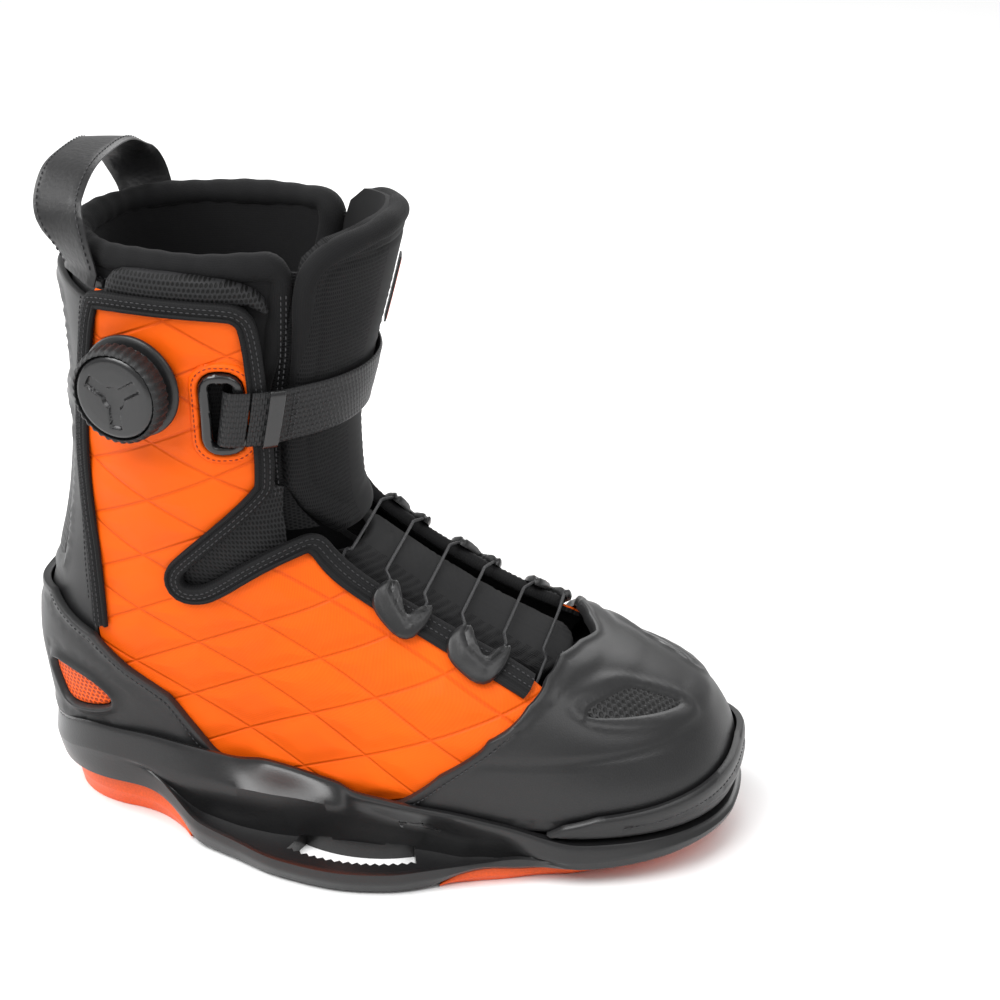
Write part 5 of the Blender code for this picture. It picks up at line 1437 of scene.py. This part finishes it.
def addLace():
    path = lacePath()
    finish("lace_cord", tubeMesh("lace_cord", spaced(path, 1.6), lace["radius"], 8), materials["cord"],
           "boot", ["lace"],
           smoothAngle=80)
    for n, (side, k) in enumerate([(innerSide, 0), (outerSide, 1), (innerSide, 2), (outerSide, 3),
                                   (innerSide, 4)]):
        (x0, z0, _), (x1, z1, _) = crossings[k], crossings[k + 1]
        if k == len(crossings) - 2:
            x1 -= 3.0
        corners = [(x0 - 5, z0 - 7.5), (x0 - 1, z0 - 15), (x1 - 5, z1 - 16), (x1 + 3.5, z1 - 10.5),
                   (x1 + 4, z1 - 5),
                   (x1 - 3, z1 - 4.5), (x1 - 6, z1 - 7), (x0 + 7, z0 - 9), (x0 + 4.5, z0 - 5),
                   (x0 - 1, z0 - 3.5)]
        outline = onSide(side, softened(corners, 2, closed=True))
        route = np.array(laceTurn(side, k))[:, [0, 2]]

        def relief(x, z, u, rim):
            gap = nearest(np.stack([x, z], 1), spaced(route, 0.6))
            beside = 0.9 * np.exp(-((gap - 1.2) / 1.6) ** 2)
            return beside - 0.8 * np.exp(-(gap / 0.9) ** 2) + rimRound(rim, 1.8, 1.6)

        mesh = panelMesh(f"lace_guide_{n + 1}_moulding", outline, 6.1, 2.9, 0.9, relief)
        finish(f"lace_guide_{n + 1}_moulding", mesh, materials["mouldedRubber"], "boot",
               [f"lace_guide_{n + 1}"], 0.3)


# Pull loop, its anchors and the side tab

def addPullLoop():
    feet = [sidePoint(side, -117, 266, -2.6) for side in (outerSide, innerSide)]
    arch = [feet[0] - (0.8, 0, 4), feet[0], feet[0] + (-4, -1.5, 14), (-125, -39, 292), (-126, -24, 301.5),
            (-125.5, -3, 304), (-125, 20, 302), (-124, 38, 292), feet[1] + (-4, 1.5, 14), feet[1],
            feet[1] - (0.8, 0, 4)]
    path = spaced(smoothPath(arch, 3), 2.0)
    flat = [lastPoint(-0.25, 266.0) - lastPoint(-0.236, 266.0),
            lastPoint(0.25, 266.0) - lastPoint(0.236, 266.0)]
    flat = [f / np.linalg.norm(f) for f in flat]
    across = []
    for i in range(len(path)):
        t = i / (len(path) - 1)
        share = flat[0] * max(0, 1 - 2.4 * t) + flat[1] * max(0, 2.4 * t - 1.4)
        across.append(share + np.array((1, 0, 0.05)) * max(0, 1 - abs(2 * t - 1)) * 1.2)
    mesh = bandMesh("pull_loop_strap", path, across, 24, 2.6, 0.35, 1.0)
    finish("pull_loop_strap", mesh, materials["leather"], "loop", ["pull_loop"])
    lines = []
    for edge in (-0.82, 0.82):
        line = []
        for i, p in enumerate(path):
            ahead = path[min(i + 1, len(path) - 1)] - path[max(i - 1, 0)]
            wide = across[i] - np.dot(across[i], ahead) * ahead / np.dot(ahead, ahead)
            wide = wide / np.linalg.norm(wide)
            deep = np.cross(wide, ahead)
            line.append(p + wide * 12 * edge + deep / np.linalg.norm(deep) * 1.55)
        lines.append(line[3:-3])
    addStitches("pull_loop_stitches", lines, "loop", gap=3.0, length=2.2)
    for side, word in sideNames.items():
        outline = onSide(side, [(-128, 238), (-107, 238), (-106, 262.5), (-127, 262.5)])
        mesh = panelMesh(f"loop_anchor_{word}_patch", outline, -4.1, 1.8, 2.5, lambda x, z, u,
                         rim: rimRound(rim, 0.8, 0.6))
        finish(f"loop_anchor_{word}_patch", mesh, materials["leather"], "boot", [f"loop_anchor_{word}"],
               0.3)
    tab = onSide(innerSide, [(-66, 108), (-70, 98), (-50, 97), (-47, 106)])
    mesh = panelMesh("side_tab_patch", tab, 2.1, 0.9, 1.0, lambda x, z, u,
                     rim: 0.35 * np.exp(-((rim - 1.2) / 0.4) ** 2))
    finish("side_tab_patch", mesh, materials["mouldedRubber"], "boot", ["side_tab"], 0.2)


addLiner()
addThroatGussets()
addCollars()
addTongue()
print("liner and tongue sewn")
addStrap()
addRing()
addPegPlate()
addDial()
print("strap and dial assembled")
addLace()
addPullLoop()
print("laced")

# Chassis and the foam pads under it

chassis = {
    "bottom": [(-165, 15), (-150, 15), (-135, 16), (-115, 16), (-97, 14), (-83, 8), (-72, 0), (36, 0),
               (50, 6), (62, 8), (80, 6), (100, 6), (121, 8.5), (135, 11.5), (150, 14), (165, 16)],
    "rail": [(-165, 42), (-144, 42), (-121, 47), (-102, 46), (-83, 43), (-66, 40), (-54, 38), (-29, 35.5),
             (-4, 33.5), (19, 34), (40, 34), (67, 29), (88, 23), (100, 21), (165, 21)],
    "lipY": [(-165, 0), (-110, 52), (-95, 55), (-86, 58), (-70, 66), (-53, 73), (-30, 83), (0, 88),
             (22, 85), (40, 77), (65, 68), (90, 60), (100, 57), (165, 0)],
    "lipZ": [(-165, 30), (-110, 28), (-95, 23), (-86, 19), (-70, 14), (-50, 12), (-30, 11), (35, 11),
             (65, 13), (90, 15), (165, 16)],
    "pocket": [(-165, 30), (-110, 28), (-95, 21), (-86, 16), (-70, 10), (-50, 7), (48, 7),
               (65, 9.5), (90, 14), (165, 16)],
    "ridgeY": [(-165, 55), (-75, 52), (-50, 55), (-35, 57), (0, 55.5), (30, 56), (60, 60), (165, 60)],
    "ridgeZ": [(-165, 30), (-80, 27), (-50, 28), (-35, 28), (0, 23), (30, 19), (60, 17), (90, 17),
               (165, 16)],
    "floor": 20.0, "overlay": 1.2, "cup": 3.0}
slot = {"radius": 65.0, "width": 16.0, "angle": 26.0, "tooth": 3.6, "depth": 1.7}
creases = {0: 1.0, 2: 0.55, 3: 0.55, 4: 0.35, 5: 0.9, 6: 0.8, 7: 0.9, 8: 0.55, 9: 0.6, 10: 0.5, 11: 0.9}


def chassisHalf(share, side):
    u = side * share
    foot, out = lastPoint(u, 30.0), lastNormal(u, 30.0) * (1, 1, 0)
    x, out = float(foot[0]), out / np.linalg.norm(out)
    rail, bottom = float(along(chassis["rail"], x)), float(along(chassis["bottom"], x))
    wing = float(ease(-112, -72, x) * (1 - ease(66, 98, x)))
    held = 1 - float(ease(-56, -46, x) * (1 - ease(-9, 0, x)))
    clear = chassis["overlay"] + (chassis["cup"] + chassis["overlay"]) * held
    wall = [lastSurface(u, z, clear) for z in np.linspace(chassis["floor"], rail, 3)]
    wall[0][2], wall[-1][2] = chassis["floor"], rail

    def outer(endOut, endZ, wingY, wingZ):
        atEnd = foot + out * endOut
        atEnd[2] = endZ
        return atEnd + (np.array([x, side * wingY, wingZ]) - atEnd) * wing

    low = (rail + bottom) / 2
    lipY, lipZ = float(along(chassis["lipY"], x)), float(along(chassis["lipZ"], x))
    ridgeY, ridgeZ = float(along(chassis["ridgeY"], x)), float(along(chassis["ridgeZ"], x))
    pocket, top = float(along(chassis["pocket"], x)), abs(wall[-1][1])
    points = np.array(wall + [
        outer(clear + 2.6, rail, top + 2.4, rail),
        outer(clear + 3.4, rail - 2, top + 3.4, rail - 2),
        outer(clear + 4.6, max(low, rail - 13), ridgeY, ridgeZ),
        outer(clear + 4.4, max(low - 1, rail - 14), ridgeY - 0.6, pocket),
        outer(clear + 4.2, max(low - 2, rail - 15), lipY - 4.5, pocket),
        outer(clear + 4.0, max(low - 3, rail - 16), lipY - 3.6, lipZ),
        outer(clear + 3.8, max(low - 4, rail - 17), lipY - 0.6, lipZ),
        outer(clear + 2.0, bottom + 2.5, lipY, max(lipZ - 4, bottom + 3)),
        outer(1.0, bottom, lipY - 3, bottom)])
    for i in range(3, len(points) - 1):
        points[i][2] = max(points[i][2], bottom + 0.3 * (len(points) - i))
    return points


def prismPoints(outline, low, high, base):
    count = len(outline)
    points = [(x, y, low) for x, y in outline] + [(x, y, high) for x, y in outline]
    faces = [tuple(base + i for i in range(count)),
             tuple(base + i for i in range(2 * count - 1, count - 1, -1))]
    faces += [(base + i, base + (i + 1) % count, base + count + (i + 1) % count, base + count + i)
              for i in range(count)]
    return points, faces


def slotOutline(side):
    radius, half = slot["radius"], slot["width"] / 2
    teeth = int(2 * math.radians(slot["angle"] - 2) * radius / slot["tooth"])
    outer = []
    for i in range(teeth * 2 + 1):
        a = math.radians((slot["angle"] - 2) * (i / teeth - 1))
        r = radius + half - (slot["depth"] if i % 2 else 0)
        outer.append((r * math.sin(a), side * r * math.cos(a)))
    inner = []
    for a in np.radians(np.linspace(slot["angle"], -slot["angle"], 30)):
        inner.append(((radius - half) * math.sin(a), side * (radius - half) * math.cos(a)))
    return outer + inner


def addChassis():
    shares = np.concatenate([[0], np.linspace(0.035, 0.965, 79), [1]])
    rings, half = [], 0
    for share in shares:
        outside, inner = chassisHalf(share, outerSide), chassisHalf(share, innerSide)
        half = len(outside)
        rings.append(np.vstack([outside, inner[::-1]]))
    mesh = loftMesh("chassis_moulding", rings, capped=False)
    total = 2 * half
    layer = mesh.attributes.new("crease_edge", "FLOAT", "EDGE")
    for edge in mesh.edges:
        a, b = edge.vertices
        if a % total == b % total:
            index = a % total
            index = index if index < half else total - 1 - index
            layer.data[edge.index].value = creases.get(index, 0.0)
    outwards(mesh)
    body = bpy.data.objects.new("chassisBody", mesh)
    bpy.context.scene.collection.objects.link(body)
    smoother = body.modifiers.new("smooth", "SUBSURF")
    smoother.levels = smoother.render_levels = 2
    smoother.boundary_smooth = "PRESERVE_CORNERS"
    points, faces = [], []
    shapes = [(slotOutline(side), -5, 8.5) for side in (outerSide, innerSide)]
    for side in (outerSide, innerSide):
        for x0, x1 in ((-60, -13), (13, 34)):
            y0, y1 = sorted((side * 5, side * 36))
            shapes.append(([(x0, y0), (x1, y0), (x1, y1), (x0, y1)], -5, chassis["floor"] - 6))
    for x, y in ((-36, -20), (-36, 20), (24, -20), (24, 20)):
        turn = np.linspace(0, 2 * np.pi, 16, endpoint=False)
        shapes.append(([(x + 2.4 * math.cos(a), y + 2.4 * math.sin(a)) for a in turn], 13, 30))
    for outline, low, high in shapes:
        here = np.array(outline)
        after = np.roll(here, -1, 0)
        if (after[:, 1] * here[:, 0] - after[:, 0] * here[:, 1]).sum() > 0:
            outline = outline[::-1]
        p, f = prismPoints(outline, low, high, len(points))
        points += p
        faces += f
    cutter = bpy.data.objects.new("chassisCutter", meshOf("chassisCutter", points, faces))
    bpy.context.scene.collection.objects.link(cutter)
    hollow = body.modifiers.new("hollow", "BOOLEAN")
    hollow.operation, hollow.solver, hollow.object, hollow.use_self = "DIFFERENCE", "EXACT", cutter, True
    graph = bpy.context.evaluated_depsgraph_get()
    result = bpy.data.meshes.new_from_object(body.evaluated_get(graph))
    result.name = "chassis_moulding"
    for obj in (body, cutter):
        bpy.data.objects.remove(obj)
    finish("chassis_moulding", result, materials["chassisPlastic"], "boot", ["chassis"], smoothAngle=32)


def addPad(name, shares, bottomOf):
    rings = []
    for share in shares:
        edges = [chassisHalf(share, side)[-1] for side in (outerSide, innerSide)]
        x = float(edges[0][0])
        top = float(along(chassis["bottom"], x)) - 0.35
        bottom = min(bottomOf(x), top - 1.2)
        a, b = edges[0][1] + 1.2, edges[1][1] - 1.2
        if a > b:
            a = b = (a + b) / 2
        m = (top + bottom) / 2
        rings.append(np.array([(x, a, top), (x, a - 0.7, m + 0.5), (x, a - 0.4, m),
                               (x, a + 0.9, (m + bottom) / 2),
                               (x, a + 2.4, bottom), (x, b - 2.4, bottom), (x, b - 0.9, (m + bottom) / 2),
                               (x, b + 0.4, m), (x, b + 0.7, m + 0.5), (x, b, top)]))
    mesh = outwards(loftMesh(name + "_foam", rings))
    finish(name + "_foam", mesh, materials["orangeFoam"], "boot", [name], 0.5, smoothAngle=50)


def addPads():
    shares = np.linspace(0.035, 0.965, 115)
    heel = [s for s in shares[:60] if lastPoint(s, 30.0)[0] < -76]
    addPad("heel_pad", heel, lambda x: 0.0)
    under = [(0, 0), (92, 0), (106, 2), (121, 5), (135, 8), (150, 10.8), (165, 12.5)]
    toe = [s for s in shares[60:] if lastPoint(s, 30.0)[0] > 41]
    addPad("toe_pad", toe, lambda x: float(along(under, x)))


addChassis()
addPads()
print("chassis and pads moulded")

carried = {"board": ["lasting_board"], "footbedCloth": ["footbed"],
           "steel": ["chassis_screw_1", "chassis_screw_2", "chassis_screw_3", "chassis_screw_4"]}
for finishName, names in carried.items():
    for name in names:
        for place in nodes[name].material_slots:
            place.material = materials[finishName]
